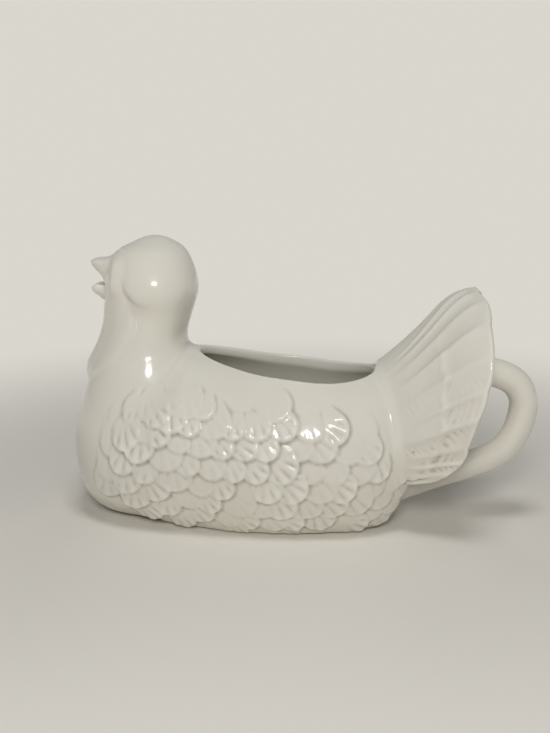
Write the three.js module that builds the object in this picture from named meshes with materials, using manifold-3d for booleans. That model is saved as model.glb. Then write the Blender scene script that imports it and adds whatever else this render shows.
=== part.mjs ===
import * as THREE from 'three';
import { mergeVertices } from 'three/addons/utils/BufferGeometryUtils.js';
import Module from 'manifold-3d';

// Turkey-shaped gravy boat in glazed ceramic: millimetres, +Z up, beak toward -X, tail toward +X.
// The hollow body and head are one loft whose sections turn from upright to level at the nape.

const wasm = await Module();
wasm.setup();

// Body casting
const SHOULDER_LENGTH = 70.1; // breast front to the mouth
const BREAST_SHARE = 0.53; // part of the body's length ahead of the middle of the foot
const BODY_BREADTH = 89.4; // over the plain sides, without the feathers
const BACK_HEIGHT = 94.6; // crest of the back before the mouth is cut
const WALL = 5;
const FLOOR = 6.5;
const FOOT_RING = 5; // unglazed ring round the recess under the body
const FOOT_RECESS = 1.4;

// Mouth of the bowl, an egg with its blunt end toward the tail
const MOUTH_LENGTH = 94.3;
const MOUTH_BREADTH = 56.2;
const MOUTH_REAR_INSET = 18.4; // mouth's rear end before the rear wall
const MOUTH_FRONT_SHARE = 0.58; // part of the length ahead of the widest place
const MOUTH_FLOOR_SHARE = 0.7; // height where the cut starts, of the back's height

// Head casting
const HEAD_LENGTH = 49.5; // face to back of the head
const HEAD_BREADTH = 47.2;
const HEAD_HEIGHT = 53.2; // nape to crown
const NAPE_RISE = 5.4; // nape above the crest of the back
const FACE_SETBACK = 19.8; // face behind the breast front
const SEAM_RISE = 2; // joint of the two castings above the nape
const CLEARANCE = 0.3;
const OVERRUN = 20; // how far every cutting solid runs past what it cuts

// Beak, open as the pouring spout
const SPOUT_BORE = 9.2;
const SPOUT_RISE = 29.8; // middle of the bore above the nape
const BILL_REACH = 8.4; // tip ahead of the face
const BILL_BREADTH = 16;
const UPPER_BILL_RISE = 8.6; // tip above the middle of the bore
const UPPER_BILL_DEPTH = 13;
const LOWER_BILL_DROP = 5.2; // tip below the middle of the bore
const LOWER_BILL_DEPTH = 9.6;

// Wattle, a raised band down each side of the beak that widens into a bib on the throat
const WATTLE_RISE = 13.2; // top above the middle of the bore
const WATTLE_DROP = 65.5;
const WATTLE_SPAN = 30; // fore and aft
const WATTLE_PROUD = 3; // middle of the bib over the neck
const WATTLE_EDGE = 1.1; // its edge over the neck
const WATTLE_ROUND = 7; // from the edge to the full thickness

// Feathers moulded on the sides, in staggered rows of overlapping scallops
const FEATHER_BREADTH = 12.4;
const FEATHER_ROWS = 8;
const FEATHER_PROUD = 1.6; // lower edge of a feather over the one below
const FEATHER_SCALLOP_SHARE = 0.62; // how far a lower edge bows down, of a row
const FEATHER_LEDGE_SHARE = 0.14; // height of the edge itself, of a row
const FEATHER_MARGIN_SHARE = 0.25; // part of a feather that fades out at the field's ends
const SCALLOP_POWER = 0.75; // 1 is a sine, less is rounder with sharper corners
const FEATHERS_LONG = 14; // feathers in the longest row
const FEATHERS_START = 24; // first feather ahead of the rear wall

// Tail fan, a hood of feathers open to the rear
const TAIL_REACH = 40; // free edge behind the rear wall
const TAIL_RISE = 33.4; // highest feather above the crest of the back
const TAIL_BREADTH = 93;
const TAIL_THICKNESS = 4.6;
const TAIL_RIB = 1.5; // quills and seams of the feathers over the hollows between them
const TAIL_NOTCH = 1.8; // depth of the notches in the free edge
const TAIL_COVERT = 1.1; // thickness of the short feathers laid over the roots of the long ones
const TAIL_COVERT_SHARE = 0.56; // part of the reach that they cover
const TAIL_COVERT_STEP_SHARE = 0.03; // and that their ends slope down over
const TAIL_ARCH = 3.8; // rise of the ridge over the straight line from root to tip
const TAIL_ARCH_LEAN = 37; // degrees that the rise leans forward from upright
const TAIL_ARCH_LATENESS = 2.4; // more moves the highest place toward the tip
const TAIL_ARCH_NARROWNESS = 3; // more keeps the rise nearer to the ridge
const TAIL_TAPER_SHARE = 0.3; // thickness lost from root to free edge

// Handle, a round strap behind the tail
const HANDLE_THICKNESS = 15.4;
const HANDLE_REACH = 67.8; // back of the handle behind the rear wall
const HANDLE_SINK = 12; // middle of the upper run below the crest of the back
const HANDLE_FOOT = 17; // middle of the lower end
const HANDLE_TAPER_SHARE = 0.2; // thickness lost at the lower end
const HANDLE_TAPER_POWER = 8; // more keeps the full thickness nearer to the end

// Fineness of the meshes
const FEATHER_FACETS = 4;
const HEAD_FACET = 5.8;
const CAVITY_FACET = 9;
const CAVITY_POINTS = 24;
const SEAT_POINTS = 48;
const WATTLE_FACET = 4.1;
const WATTLE_POINTS = 44;
const RIM_SEGMENTS = 22;
const BILL_POINTS = 20;
const TAIL_FACETS = 4; // across one feather
const TAIL_STEPS = 3; // along the short feathers, and again beyond them
const HANDLE_STEPS = 28;
const HANDLE_POINTS = 14;

// Mid-plane silhouette in shares of the body's length, back height and half breadth, rear to nape:
// underside x and z, back x and z, half breadth of the section between the two
const bodyShares = [
  [0.993, 0.169, 0.989, 0.705, 0.49],
  [0.945, 0.003, 0.934, 0.854, 0.72],
  [0.847, -0.079, 0.847, 0.92, 0.895],
  [0.694, -0.136, 0.694, 1, 0.985],
  [0.53, -0.138, 0.53, 1, 1],
  [0.387, -0.089, 0.415, 0.986, 0.973],
  [0.245, -0.035, 0.374, 0.986, 0.93],
  [0.103, 0.01, 0.362, 0.991, 0.83],
  [0.026, 0.138, 0.3545, 0.999, 0.74],
  [0, 0.402, 0.349, 1.009, 0.67],
  [0.021, 0.655, 0.3457, 1.025, 0.604],
  [0.0536, 0.835, 0.344, 1.057, 0.541],
];
const rearPoleShare = 0.444;

// The same in shares of the head's length, height and half breadth, neck to crown
const headShares = [
  [-0.051, -0.075, 0.881, 0.085, 0.945],
  [0.03, 0.207, 0.925, 0.216, 0.924],
  [0, 0.526, 1, 0.508, 1],
  [0.111, 0.818, 0.893, 0.827, 0.742],
  [0.293, 0.93, 0.707, 0.964, 0.381],
];
const crownShare = 0.505;
const FULLNESS = 2.12; // 2 is an ellipse, more is squarer

const BODY_LENGTH = SHOULDER_LENGTH + MOUTH_LENGTH + MOUTH_REAR_INSET;
const BREAST_X = -BODY_LENGTH * BREAST_SHARE;
const REAR_X = BREAST_X + BODY_LENGTH;
const FACE_X = BREAST_X + FACE_SETBACK;
const NAPE_HEIGHT = BACK_HEIGHT + NAPE_RISE;
const SEAM_HEIGHT = NAPE_HEIGHT + SEAM_RISE;
const CROWN_HEIGHT = NAPE_HEIGHT + HEAD_HEIGHT;
const SPOUT_HEIGHT = NAPE_HEIGHT + SPOUT_RISE;
const WATTLE_TOP = SPOUT_HEIGHT + WATTLE_RISE;
const TAIL_HEIGHT = BACK_HEIGHT + TAIL_RISE;
const HANDLE_TOP = BACK_HEIGHT - HANDLE_SINK;

// Materials

function glaze(color) {
  return new THREE.MeshStandardMaterial({ color, roughness: 0.32, metalness: 0 });
}

const BODY_GLAZE = glaze(0xd1cfc2);
const HEAD_GLAZE = glaze(0xcac8bb);
const TAIL_GLAZE = glaze(0xc6c1b7);
const BILL_GLAZE = glaze(0xc7c4ba);

// Solids

function solid(geometry) {
  const bare = geometry.index ? geometry.clone() : mergeVertices(geometry);
  bare.deleteAttribute('normal');
  bare.deleteAttribute('uv');
  const merged = mergeVertices(bare);
  return new wasm.Manifold(new wasm.Mesh({
    numProp: 3,
    vertProperties: new Float32Array(merged.attributes.position.array),
    triVerts: new Uint32Array(merged.index.array),
  }));
}

function named(name, shape, material) {
  const mesh = shape.getMesh();
  const geometry = new THREE.BufferGeometry();
  geometry.setAttribute('position', new THREE.BufferAttribute(mesh.vertProperties, 3));
  geometry.setIndex(new THREE.BufferAttribute(mesh.triVerts, 1));
  geometry.computeVertexNormals();
  const part = new THREE.Mesh(geometry, material);
  part.name = name;
  return part;
}

// Joins rings of equal length into a closed skin, with a point or a flat face at each end
function skin(rings, firstTip, lastTip) {
  const count = rings[0].length;
  const points = [firstTip, ...rings.flat(), lastTip];
  const triangles = [];
  const at = (ring, i) => 1 + ring * count + (i % count);
  for (let i = 0; i < count; i += 1) {
    triangles.push(0, at(0, i + 1), at(0, i));
    triangles.push(points.length - 1, at(rings.length - 1, i), at(rings.length - 1, i + 1));
    for (let ring = 0; ring + 1 < rings.length; ring += 1) {
      triangles.push(at(ring, i), at(ring, i + 1), at(ring + 1, i));
      triangles.push(at(ring, i + 1), at(ring + 1, i + 1), at(ring + 1, i));
    }
  }
  const geometry = new THREE.BufferGeometry().setFromPoints(points);
  geometry.setIndex(triangles);
  return facingOut(geometry);
}

function signedVolume(geometry) {
  const position = geometry.attributes.position;
  const index = geometry.index.array;
  const [a, b, c] = [new THREE.Vector3(), new THREE.Vector3(), new THREE.Vector3()];
  let volume = 0;
  for (let i = 0; i < index.length; i += 3) {
    a.fromBufferAttribute(position, index[i]);
    b.fromBufferAttribute(position, index[i + 1]);
    c.fromBufferAttribute(position, index[i + 2]);
    volume += a.dot(b.cross(c));
  }
  return volume;
}

function facingOut(geometry) {
  if (signedVolume(geometry) < 0) {
    geometry.index.array.reverse();
  }
  return geometry;
}

// The same skin moved along its normals, outward where the distance at a point is positive
function offsetSkin(geometry, distanceAt) {
  const moved = geometry.clone();
  moved.computeVertexNormals();
  const { position, normal } = moved.attributes;
  const point = new THREE.Vector3();
  const along = new THREE.Vector3();
  for (let i = 0; i < position.count; i += 1) {
    point.fromBufferAttribute(position, i);
    point.addScaledVector(along.fromBufferAttribute(normal, i), distanceAt(point));
    position.setXYZ(i, point.x, point.y, point.z);
  }
  moved.deleteAttribute('normal');
  return moved;
}

function above(height) {
  const side = BODY_LENGTH + HANDLE_REACH + CROWN_HEIGHT;
  return solid(new THREE.BoxGeometry(side, side, side).translate(0, 0, height + side / 2));
}

function below(height) {
  const side = BODY_LENGTH + HANDLE_REACH + CROWN_HEIGHT;
  return solid(new THREE.BoxGeometry(side, side, side).translate(0, 0, height - side / 2));
}

// Loft of body and head

function bodyPoint(xShare, zShare, breadthShare) {
  return new THREE.Vector3(
    BREAST_X + xShare * BODY_LENGTH,
    breadthShare * BODY_BREADTH / 2,
    zShare * BACK_HEIGHT,
  );
}

function headPoint(xShare, zShare, breadthShare) {
  return new THREE.Vector3(
    FACE_X + xShare * HEAD_LENGTH,
    breadthShare * HEAD_BREADTH / 2,
    NAPE_HEIGHT + zShare * HEAD_HEIGHT,
  );
}

// One closed curve goes along the underside to the crown and back along the back. Its y is the half
// breadth, positive on the underside and negative on the back, so it passes zero at both ends.
const undersidePoints = [
  ...bodyShares.map(([x, z, , , breadth]) => bodyPoint(x, z, breadth)),
  ...headShares.map(([x, z, , , breadth]) => headPoint(x, z, breadth)),
];
const backPoints = [
  ...bodyShares.map(([, , x, z, breadth]) => bodyPoint(x, z, -breadth)),
  ...headShares.map(([, , x, z, breadth]) => headPoint(x, z, -breadth)),
];
const silhouette = new THREE.CatmullRomCurve3([
  bodyPoint(1, rearPoleShare, 0),
  ...undersidePoints,
  headPoint(crownShare, 1, 0),
  ...backPoints.toReversed(),
], true, 'catmullrom', 0.5);
const STATIONS = undersidePoints.length + 1;

// Ends of the section at a station: 0 is the rear pole and STATIONS is the crown
function sectionEnds(station) {
  const share = station / (2 * STATIONS);
  return { under: silhouette.getPoint(share), back: silhouette.getPoint(1 - share) };
}

// A point of the section: angle 0 is the underside, half a turn is the back
function sectionPoint(station, angle) {
  const { under, back } = sectionEnds(station);
  const halfBreadth = under.y;
  const along = Math.sign(Math.cos(angle)) * Math.abs(Math.cos(angle)) ** (2 / FULLNESS);
  const across = Math.sign(Math.sin(angle)) * Math.abs(Math.sin(angle)) ** (2 / FULLNESS);
  const point = back.clone().lerp(under, (1 + along) / 2);
  point.y = halfBreadth * across;
  return point;
}

// Stations spread by distance along the widest line of the side, so that facets are even
const SIDE_SAMPLES = 600;
const sideDistances = [0];
for (let i = 1; i <= SIDE_SAMPLES; i += 1) {
  const from = sectionPoint(((i - 1) / SIDE_SAMPLES) * STATIONS, Math.PI / 2);
  const to = sectionPoint((i / SIDE_SAMPLES) * STATIONS, Math.PI / 2);
  sideDistances.push(sideDistances[i - 1] + from.distanceTo(to));
}
const SIDE_LENGTH = sideDistances[SIDE_SAMPLES];

function stationAt(distance) {
  const above = sideDistances.findIndex((passed) => passed > distance);
  const span = sideDistances[above] - sideDistances[above - 1];
  return ((above - (sideDistances[above] - distance) / span) / SIDE_SAMPLES) * STATIONS;
}

function plainSkin(facet, pointCount) {
  const rings = [];
  const count = Math.round(SIDE_LENGTH / facet);
  for (let i = 0; i < count; i += 1) {
    const ring = [];
    const station = stationAt(((i + 0.5) / count) * SIDE_LENGTH);
    for (let k = 0; k < pointCount; k += 1) {
      ring.push(sectionPoint(station, (k / pointCount) * 2 * Math.PI));
    }
    rings.push(ring);
  }
  return skin(rings, silhouette.getPoint(0), silhouette.getPoint(0.5));
}

// Feathers

// Lines of a half section from underside to back, each at a share of half a turn. A row of feathers
// has two: the foot of its lower edge and the proud edge itself.
const FIELD_LOW_SHARE = 0.2;
const FIELD_HIGH_SHARE = 0.68;
const ROW_SHARE = (FIELD_HIGH_SHARE - FIELD_LOW_SHARE) / FEATHER_ROWS;
const bellyShares = [0.08, 0.16];
const shoulderShares = [0.7, 0.76, 0.83, 0.915];
const sectionLines = bellyShares.map((share) => ({ share, row: -1 }));
for (let row = 0; row < FEATHER_ROWS; row += 1) {
  const low = FIELD_LOW_SHARE + row * ROW_SHARE;
  sectionLines.push({ share: low, row, proud: 0 });
  sectionLines.push({ share: low + FEATHER_LEDGE_SHARE * ROW_SHARE, row, proud: 1 });
}
sectionLines.push(...shoulderShares.map((share) => ({ share, row: -1 })));

// The field's two ends lean in toward the top and bottom rows: feathers left out at the front and
// at the rear of each row, bottom row first
const frontGaps = [3.4, 2.3, 1.6, 1, 0.6, 0.3, 0.4, 2.2];
const rearGaps = [1.6, 0.8, 0.2, 0, 0, 0.6, 1.6, 2.8];

// How far into its row a place is, in feathers, and how strongly the feather shows there
function featherAt(distance, row) {
  const place = (distance - FEATHERS_START) / FEATHER_BREADTH + (row % 2) / 2;
  const inside = Math.min(place - rearGaps[row], FEATHERS_LONG - frontGaps[row] - place);
  return { place, strength: THREE.MathUtils.clamp(inside + FEATHER_MARGIN_SHARE, 0, 1) };
}

function featheredPoint(distance, line, side) {
  const station = stationAt(distance);
  if (line.row < 0) {
    return sectionPoint(station, side * line.share * Math.PI);
  }
  const { place, strength } = featherAt(distance, line.row);
  const bow = Math.abs(Math.sin(place * Math.PI)) ** SCALLOP_POWER - 0.5;
  const share = line.share - strength * bow * FEATHER_SCALLOP_SHARE * ROW_SHARE;
  const angle = side * share * Math.PI;
  const probe = 0.01;
  const point = sectionPoint(station, angle);
  const along = sectionPoint(station + probe, angle).sub(sectionPoint(station - probe, angle));
  const round = sectionPoint(station, angle + probe).sub(sectionPoint(station, angle - probe));
  const out = new THREE.Vector3().crossVectors(round, along).normalize();
  return point.addScaledVector(out, strength * line.proud * FEATHER_PROUD);
}

function featheredSkin() {
  const distances = [];
  const facet = FEATHER_BREADTH / FEATHER_FACETS;
  const fieldStart = FEATHERS_START - FEATHER_BREADTH / 2;
  const fieldEnd = FEATHERS_START + FEATHERS_LONG * FEATHER_BREADTH;
  for (let distance = facet / 2; distance < fieldStart; distance += facet) {
    distances.push(distance);
  }
  for (let distance = fieldStart; distance < fieldEnd; distance += facet) {
    distances.push(distance);
  }
  for (let distance = fieldEnd; distance < SIDE_LENGTH; distance += HEAD_FACET) {
    distances.push(distance);
  }
  const reversed = sectionLines.toReversed();
  const rings = distances.map((distance) => [
    sectionPoint(stationAt(distance), 0),
    ...sectionLines.map((line) => featheredPoint(distance, line, 1)),
    sectionPoint(stationAt(distance), Math.PI),
    ...reversed.map((line) => featheredPoint(distance, line, -1)),
  ]);
  return skin(rings, silhouette.getPoint(0), silhouette.getPoint(0.5));
}

// Castings

const outer = solid(featheredSkin());
const seatCutter = solid(offsetSkin(plainSkin(HEAD_FACET, SEAT_POINTS), () => CLEARANCE));
const cavity = solid(offsetSkin(plainSkin(CAVITY_FACET, CAVITY_POINTS), () => -WALL));
const spoutBore = solid(
  new THREE.CylinderGeometry(SPOUT_BORE / 2, SPOUT_BORE / 2, HEAD_LENGTH / 2 + OVERRUN, BILL_POINTS)
    .rotateZ(Math.PI / 2)
    .translate(FACE_X + HEAD_LENGTH / 4 - OVERRUN / 2, 0, SPOUT_HEIGHT),
);

function mouthCutter() {
  const front = MOUTH_LENGTH * MOUTH_FRONT_SHARE;
  const rear = MOUTH_LENGTH - front;
  const widest = REAR_X - MOUTH_REAR_INSET - rear;
  const egg = new THREE.Shape();
  egg.absellipse(widest, 0, rear, MOUTH_BREADTH / 2, -Math.PI / 2, Math.PI / 2, false, 0);
  egg.absellipse(widest, 0, front, MOUTH_BREADTH / 2, Math.PI / 2, 3 * Math.PI / 2, false, 0);
  const prism = new THREE.ExtrudeGeometry(egg, {
    depth: BACK_HEIGHT,
    bevelEnabled: false,
    curveSegments: RIM_SEGMENTS,
  });
  return solid(prism.translate(0, 0, BACK_HEIGHT * MOUTH_FLOOR_SHARE));
}

function bodyShell() {
  const recess = solid(offsetSkin(plainSkin(CAVITY_FACET, CAVITY_POINTS), () => -FOOT_RING))
    .intersect(below(FOOT_RECESS));
  return outer
    .intersect(above(0))
    .intersect(below(SEAM_HEIGHT))
    .subtract(cavity.intersect(above(FLOOR)))
    .subtract(mouthCutter())
    .subtract(recess);
}

function headShell() {
  return outer
    .intersect(above(SEAM_HEIGHT))
    .subtract(cavity)
    .subtract(spoutBore);
}

// Beak and wattle

// Rings of a bill from inside the face to its tip: shares of the reach, of the half breadth, and of
// the depth below and above the tip's height
const billShares = [
  [-0.6, 1, 0.9, 0.22],
  [0, 0.92, 0.78, 0.22],
  [0.5, 0.7, 0.42, 0.2],
  [0.85, 0.38, 0.16, 0.12],
];

function bill(tipHeight, depth) {
  const rings = billShares.map(([reach, breadth, down, up]) => {
    const ring = [];
    for (let i = 0; i < BILL_POINTS; i += 1) {
      const angle = (i / BILL_POINTS) * 2 * Math.PI;
      const rise = Math.sin(angle) * depth * (Math.sin(angle) < 0 ? down : up);
      const y = Math.cos(angle) * breadth * BILL_BREADTH / 2;
      ring.push(new THREE.Vector3(FACE_X - reach * BILL_REACH, y, tipHeight + rise));
    }
    return ring;
  });
  const middle = (ring) => new THREE.Vector3(ring[0].x, 0, ring[0].z);
  const tip = new THREE.Vector3(FACE_X - BILL_REACH, 0, tipHeight);
  return solid(skin(rings, middle(rings[0]), tip))
    .subtract(spoutBore)
    .subtract(seatCutter)
    .subtract(wattleForm(CLEARANCE));
}

// The wattle's outline seen from the side, from its top back along the rear edge, down round the
// bib and up the front: shares of the span ahead of the face and of the drop
const wattleShares = [
  [-0.233, 0],
  [-0.363, 0.032],
  [-0.377, 0.134],
  [-0.38, 0.253],
  [-0.44, 0.354],
  [-0.52, 0.447],
  [-0.567, 0.537],
  [-0.483, 0.638],
  [-0.34, 0.74],
  [-0.197, 0.824],
  [0.033, 0.881],
  [0.2, 0.944],
  [0.4, 1],
  [0.7, 1.1],
  [0.9, 0.9],
  [0.7, 0.6],
  [0.33, 0.41],
  [-0.047, 0.325],
  [-0.09, 0.185],
  [-0.133, 0.05],
];
const wattleLine = wattleShares.map(([ahead, drop]) => new THREE.Vector3(
  FACE_X - ahead * WATTLE_SPAN,
  0,
  WATTLE_TOP - drop * WATTLE_DROP,
));
const wattleCurve = new THREE.CatmullRomCurve3(wattleLine, true, 'centripetal');
const wattleOutline = wattleCurve.getPoints(3 * wattleLine.length);

// Height of the wattle over the neck: from its edge it rounds up to the full thickness
function wattleRise(point) {
  const flat = new THREE.Vector3(point.x, 0, point.z);
  const nearest = new THREE.Vector3();
  let distance = Infinity;
  let inside = false;
  wattleOutline.slice(1).forEach((end, i) => {
    const start = wattleOutline[i];
    new THREE.Line3(start, end).closestPointToPoint(flat, true, nearest);
    distance = Math.min(distance, nearest.distanceTo(flat));
    const passed = (point.z - start.z) / (end.z - start.z);
    if (passed > 0 && passed <= 1 && point.x < start.x + passed * (end.x - start.x)) {
      inside = !inside;
    }
  });
  const inward = inside ? Math.min(distance / WATTLE_ROUND, 1) : 0;
  return WATTLE_EDGE + (WATTLE_PROUD - WATTLE_EDGE) * Math.sqrt(inward * (2 - inward));
}

// The wattle, or the same form grown to cut its seat into the bills
function wattleForm(grow) {
  const outline = new THREE.Shape(wattleOutline.map(({ x, z }) => new THREE.Vector2(x, z)));
  const prism = new THREE.ExtrudeGeometry(outline, { depth: HEAD_BREADTH, bevelEnabled: false })
    .rotateX(Math.PI / 2)
    .translate(0, HEAD_BREADTH / 2, 0);
  const seen = solid(prism).add(solid(prism.clone().translate(-grow, 0, grow)));
  return solid(offsetSkin(
    plainSkin(WATTLE_FACET, WATTLE_POINTS),
    (point) => wattleRise(point) + grow,
  )).intersect(seen);
}

// Tail fan

// Root and free edge from the ridge to the lower end: shares of the reach behind the rear wall, of
// the half breadth and of the tail's height
const tailRootShares = [
  [-0.45, 0, 0.655],
  [-0.37, 0.22, 0.643],
  [-0.26, 0.42, 0.58],
  [-0.16, 0.56, 0.47],
  [-0.13, 0.6, 0.37],
  [-0.11, 0.58, 0.3],
  [-0.09, 0.54, 0.24],
  [-0.09, 0.5, 0.215],
];
const tailEdgeShares = [
  [0.82, 0, 0.985],
  [0.94, 0.42, 0.95],
  [0.965, 0.84, 0.82],
  [0.94, 1, 0.66],
  [0.79, 0.98, 0.51],
  [0.68, 0.89, 0.37],
  [0.47, 0.8, 0.28],
  [0.03, 0.64, 0.235],
];

function tailCurve(shares) {
  const half = shares.map(([reach, breadth, height]) => new THREE.Vector3(
    REAR_X + reach * TAIL_REACH,
    breadth * TAIL_BREADTH / 2,
    height * TAIL_HEIGHT,
  ));
  const mirrored = half.slice(1).toReversed().map(({ x, y, z }) => new THREE.Vector3(x, -y, z));
  return new THREE.CatmullRomCurve3([...mirrored, ...half], false, 'centripetal');
}

const tailRoot = tailCurve(tailRootShares);
const tailEdge = tailCurve(tailEdgeShares);

// Seams between the feathers of one half, from the ridge to the lower end, in shares of the half
const tailSeamShares = [0, 0.216, 0.434, 0.658, 0.818, 1];
const TAIL_FEATHERS = 2 * (tailSeamShares.length - 1);

// Place along the root and free edge of a place counted in feathers
function tailRound(place) {
  const side = Math.abs(place - TAIL_FEATHERS / 2);
  const feather = Math.min(Math.floor(side), tailSeamShares.length - 2);
  const [near, far] = tailSeamShares.slice(feather);
  const half = THREE.MathUtils.lerp(near, far, side - feather);
  return (1 + Math.sign(place - TAIL_FEATHERS / 2) * half) / 2;
}

function tailPoint(out, place) {
  const round = tailRound(place);
  const root = tailRoot.getPoint(round);
  const edge = tailEdge.getPoint(round);
  const lobe = Math.sqrt(Math.abs(Math.sin(place * Math.PI)));
  const reach = out * (1 - (TAIL_NOTCH / edge.distanceTo(root)) * (1 - lobe));
  const late = Math.sin(Math.PI * reach ** TAIL_ARCH_LATENESS);
  const arch = TAIL_ARCH * late * Math.sin(Math.PI * round) ** TAIL_ARCH_NARROWNESS;
  const lean = THREE.MathUtils.degToRad(TAIL_ARCH_LEAN);
  const rise = new THREE.Vector3(-Math.sin(lean), 0, Math.cos(lean));
  return root.lerp(edge, reach).addScaledVector(rise, arch);
}

// Rows of the fan from root to free edge, two of them together where the short feathers end
function tailRows() {
  const rows = [];
  for (let i = 0; i <= TAIL_STEPS; i += 1) {
    const out = TAIL_COVERT_SHARE * i / TAIL_STEPS;
    rows.push({ out, covert: Math.min(i, 1) });
  }
  for (let i = 0; i <= TAIL_STEPS; i += 1) {
    const start = TAIL_COVERT_SHARE + TAIL_COVERT_STEP_SHARE;
    rows.push({ out: THREE.MathUtils.lerp(start, 1, i / TAIL_STEPS), covert: 0 });
  }
  return rows;
}

function tailFan() {
  const across = TAIL_FEATHERS * TAIL_FACETS;
  const rows = tailRows();
  const along = rows.length - 1;
  const probe = 0.04;
  const inner = [];
  const outer = [];
  for (let i = 0; i <= across; i += 1) {
    const place = THREE.MathUtils.clamp(i / TAIL_FACETS, probe, TAIL_FEATHERS - probe);
    const ridge = Math.abs(Math.cos(2 * Math.PI * i / TAIL_FACETS)) - 1 / 2;
    rows.forEach(({ out, covert }) => {
      const point = tailPoint(out, place);
      const aside = tailPoint(out, place + probe).sub(tailPoint(out, place - probe));
      const outward = tailPoint(1, place).sub(tailPoint(0, place));
      const normal = new THREE.Vector3().crossVectors(outward, aside).normalize();
      const thickness = TAIL_THICKNESS * (1 - TAIL_TAPER_SHARE * out);
      const relief = TAIL_RIB * ridge * out + TAIL_COVERT * covert;
      inner.push(point.clone().addScaledVector(normal, -thickness / 2));
      outer.push(point.clone().addScaledVector(normal, thickness / 2 + relief));
    });
  }
  const sheet = new THREE.BufferGeometry().setFromPoints([...inner, ...outer]);
  const second = inner.length;
  const at = (i, j) => i * (along + 1) + j;
  const triangles = [];
  const quad = (a, b, c, d) => triangles.push(a, b, c, a, c, d);
  for (let i = 0; i < across; i += 1) {
    for (let j = 0; j < along; j += 1) {
      quad(at(i, j), at(i + 1, j), at(i + 1, j + 1), at(i, j + 1));
      quad(second + at(i, j), second + at(i, j + 1), second + at(i + 1, j + 1), second + at(i + 1, j));
    }
    quad(at(i, 0), second + at(i, 0), second + at(i + 1, 0), at(i + 1, 0));
    quad(at(i, along), at(i + 1, along), second + at(i + 1, along), second + at(i, along));
  }
  for (let j = 0; j < along; j += 1) {
    quad(at(0, j), at(0, j + 1), second + at(0, j + 1), second + at(0, j));
    quad(at(across, j), second + at(across, j), second + at(across, j + 1), at(across, j + 1));
  }
  sheet.setIndex(triangles);
  return solid(facingOut(sheet)).subtract(seatCutter);
}

// Handle

// Its middle line in shares of the reach behind the rear wall and of the height between its ends
const handleShares = [
  [-0.12, 0.93],
  [0.2, 0.975],
  [0.48, 1],
  [0.68, 0.985],
  [0.82, 0.91],
  [0.885, 0.79],
  [0.885, 0.66],
  [0.84, 0.5],
  [0.75, 0.36],
  [0.62, 0.268],
  [0.44, 0.192],
  [0.22, 0.107],
  [-0.05, -0.02],
];

function handle() {
  const path = new THREE.CatmullRomCurve3(handleShares.map(([reach, height]) => new THREE.Vector3(
    REAR_X + reach * HANDLE_REACH,
    0,
    HANDLE_FOOT + height * (HANDLE_TOP - HANDLE_FOOT),
  )));
  const aside = new THREE.Vector3(0, 1, 0);
  const rings = [];
  for (let i = 0; i <= HANDLE_STEPS; i += 1) {
    const share = i / HANDLE_STEPS;
    const radius = (HANDLE_THICKNESS / 2) * (1 - HANDLE_TAPER_SHARE * share ** HANDLE_TAPER_POWER);
    const across = path.getTangent(share).cross(aside);
    const ring = [];
    for (let k = 0; k < HANDLE_POINTS; k += 1) {
      const angle = (k / HANDLE_POINTS) * 2 * Math.PI;
      ring.push(path.getPoint(share)
        .addScaledVector(across, Math.cos(angle) * radius)
        .addScaledVector(aside, Math.sin(angle) * radius));
    }
    rings.push(ring);
  }
  return solid(skin(rings, path.getPoint(0), path.getPoint(1))).subtract(seatCutter);
}

// Assembly

const boat = new THREE.Group();
boat.add(
  named('body_shell', bodyShell(), BODY_GLAZE),
  named('head_shell', headShell(), HEAD_GLAZE),
  named('wattle', wattleForm(0).subtract(seatCutter), HEAD_GLAZE),
  named('upper_bill', bill(SPOUT_HEIGHT + UPPER_BILL_RISE, UPPER_BILL_DEPTH), BILL_GLAZE),
  named('lower_bill', bill(SPOUT_HEIGHT - LOWER_BILL_DROP, LOWER_BILL_DEPTH), BILL_GLAZE),
  named('tail_fan', tailFan(), TAIL_GLAZE),
  named('handle', handle(), TAIL_GLAZE),
);
const box = new THREE.Box3().setFromObject(boat);
boat.position.x = -(box.min.x + box.max.x) / 2;

export default boat;
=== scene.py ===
import math

import bpy
import numpy as np
import openvdb
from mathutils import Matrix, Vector


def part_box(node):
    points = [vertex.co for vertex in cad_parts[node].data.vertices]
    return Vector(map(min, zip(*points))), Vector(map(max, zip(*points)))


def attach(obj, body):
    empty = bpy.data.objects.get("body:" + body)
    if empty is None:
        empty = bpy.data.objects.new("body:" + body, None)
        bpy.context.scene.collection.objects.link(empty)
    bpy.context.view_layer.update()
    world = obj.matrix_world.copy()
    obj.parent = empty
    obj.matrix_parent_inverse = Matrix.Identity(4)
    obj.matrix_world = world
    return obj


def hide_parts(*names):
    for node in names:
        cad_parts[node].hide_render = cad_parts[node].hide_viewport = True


# Turkey-shaped gravy boat in glazed ceramic. Shapes are worked out in millimetres with the middle
# of the foot at x = 0, beak toward -X and tail toward +X, and go into the frame's metres at the
# end. Each piece is a distance field: forms melt into each other with a fillet, as under glaze.

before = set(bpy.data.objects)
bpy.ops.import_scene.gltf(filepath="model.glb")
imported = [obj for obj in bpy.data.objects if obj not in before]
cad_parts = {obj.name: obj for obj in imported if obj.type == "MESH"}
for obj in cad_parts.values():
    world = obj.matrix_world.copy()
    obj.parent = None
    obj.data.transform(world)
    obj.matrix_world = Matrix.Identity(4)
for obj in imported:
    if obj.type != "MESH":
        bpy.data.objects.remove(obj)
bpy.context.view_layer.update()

# Sizes in millimetres, as in the CAD part. Body casting
BODY_LENGTH = 182.8
BREAST_SHARE = 0.53  # ahead of the middle of the foot
BODY_BREADTH = 89.4  # without the feathers
BACK_HEIGHT = 94.6  # before the mouth is cut
WALL = 5.0
FLOOR = 6.5
FOOT_RING = 5.0  # unglazed ring under the body
FOOT_RECESS = 1.4
SEAM_HEIGHT = 102.0

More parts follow.
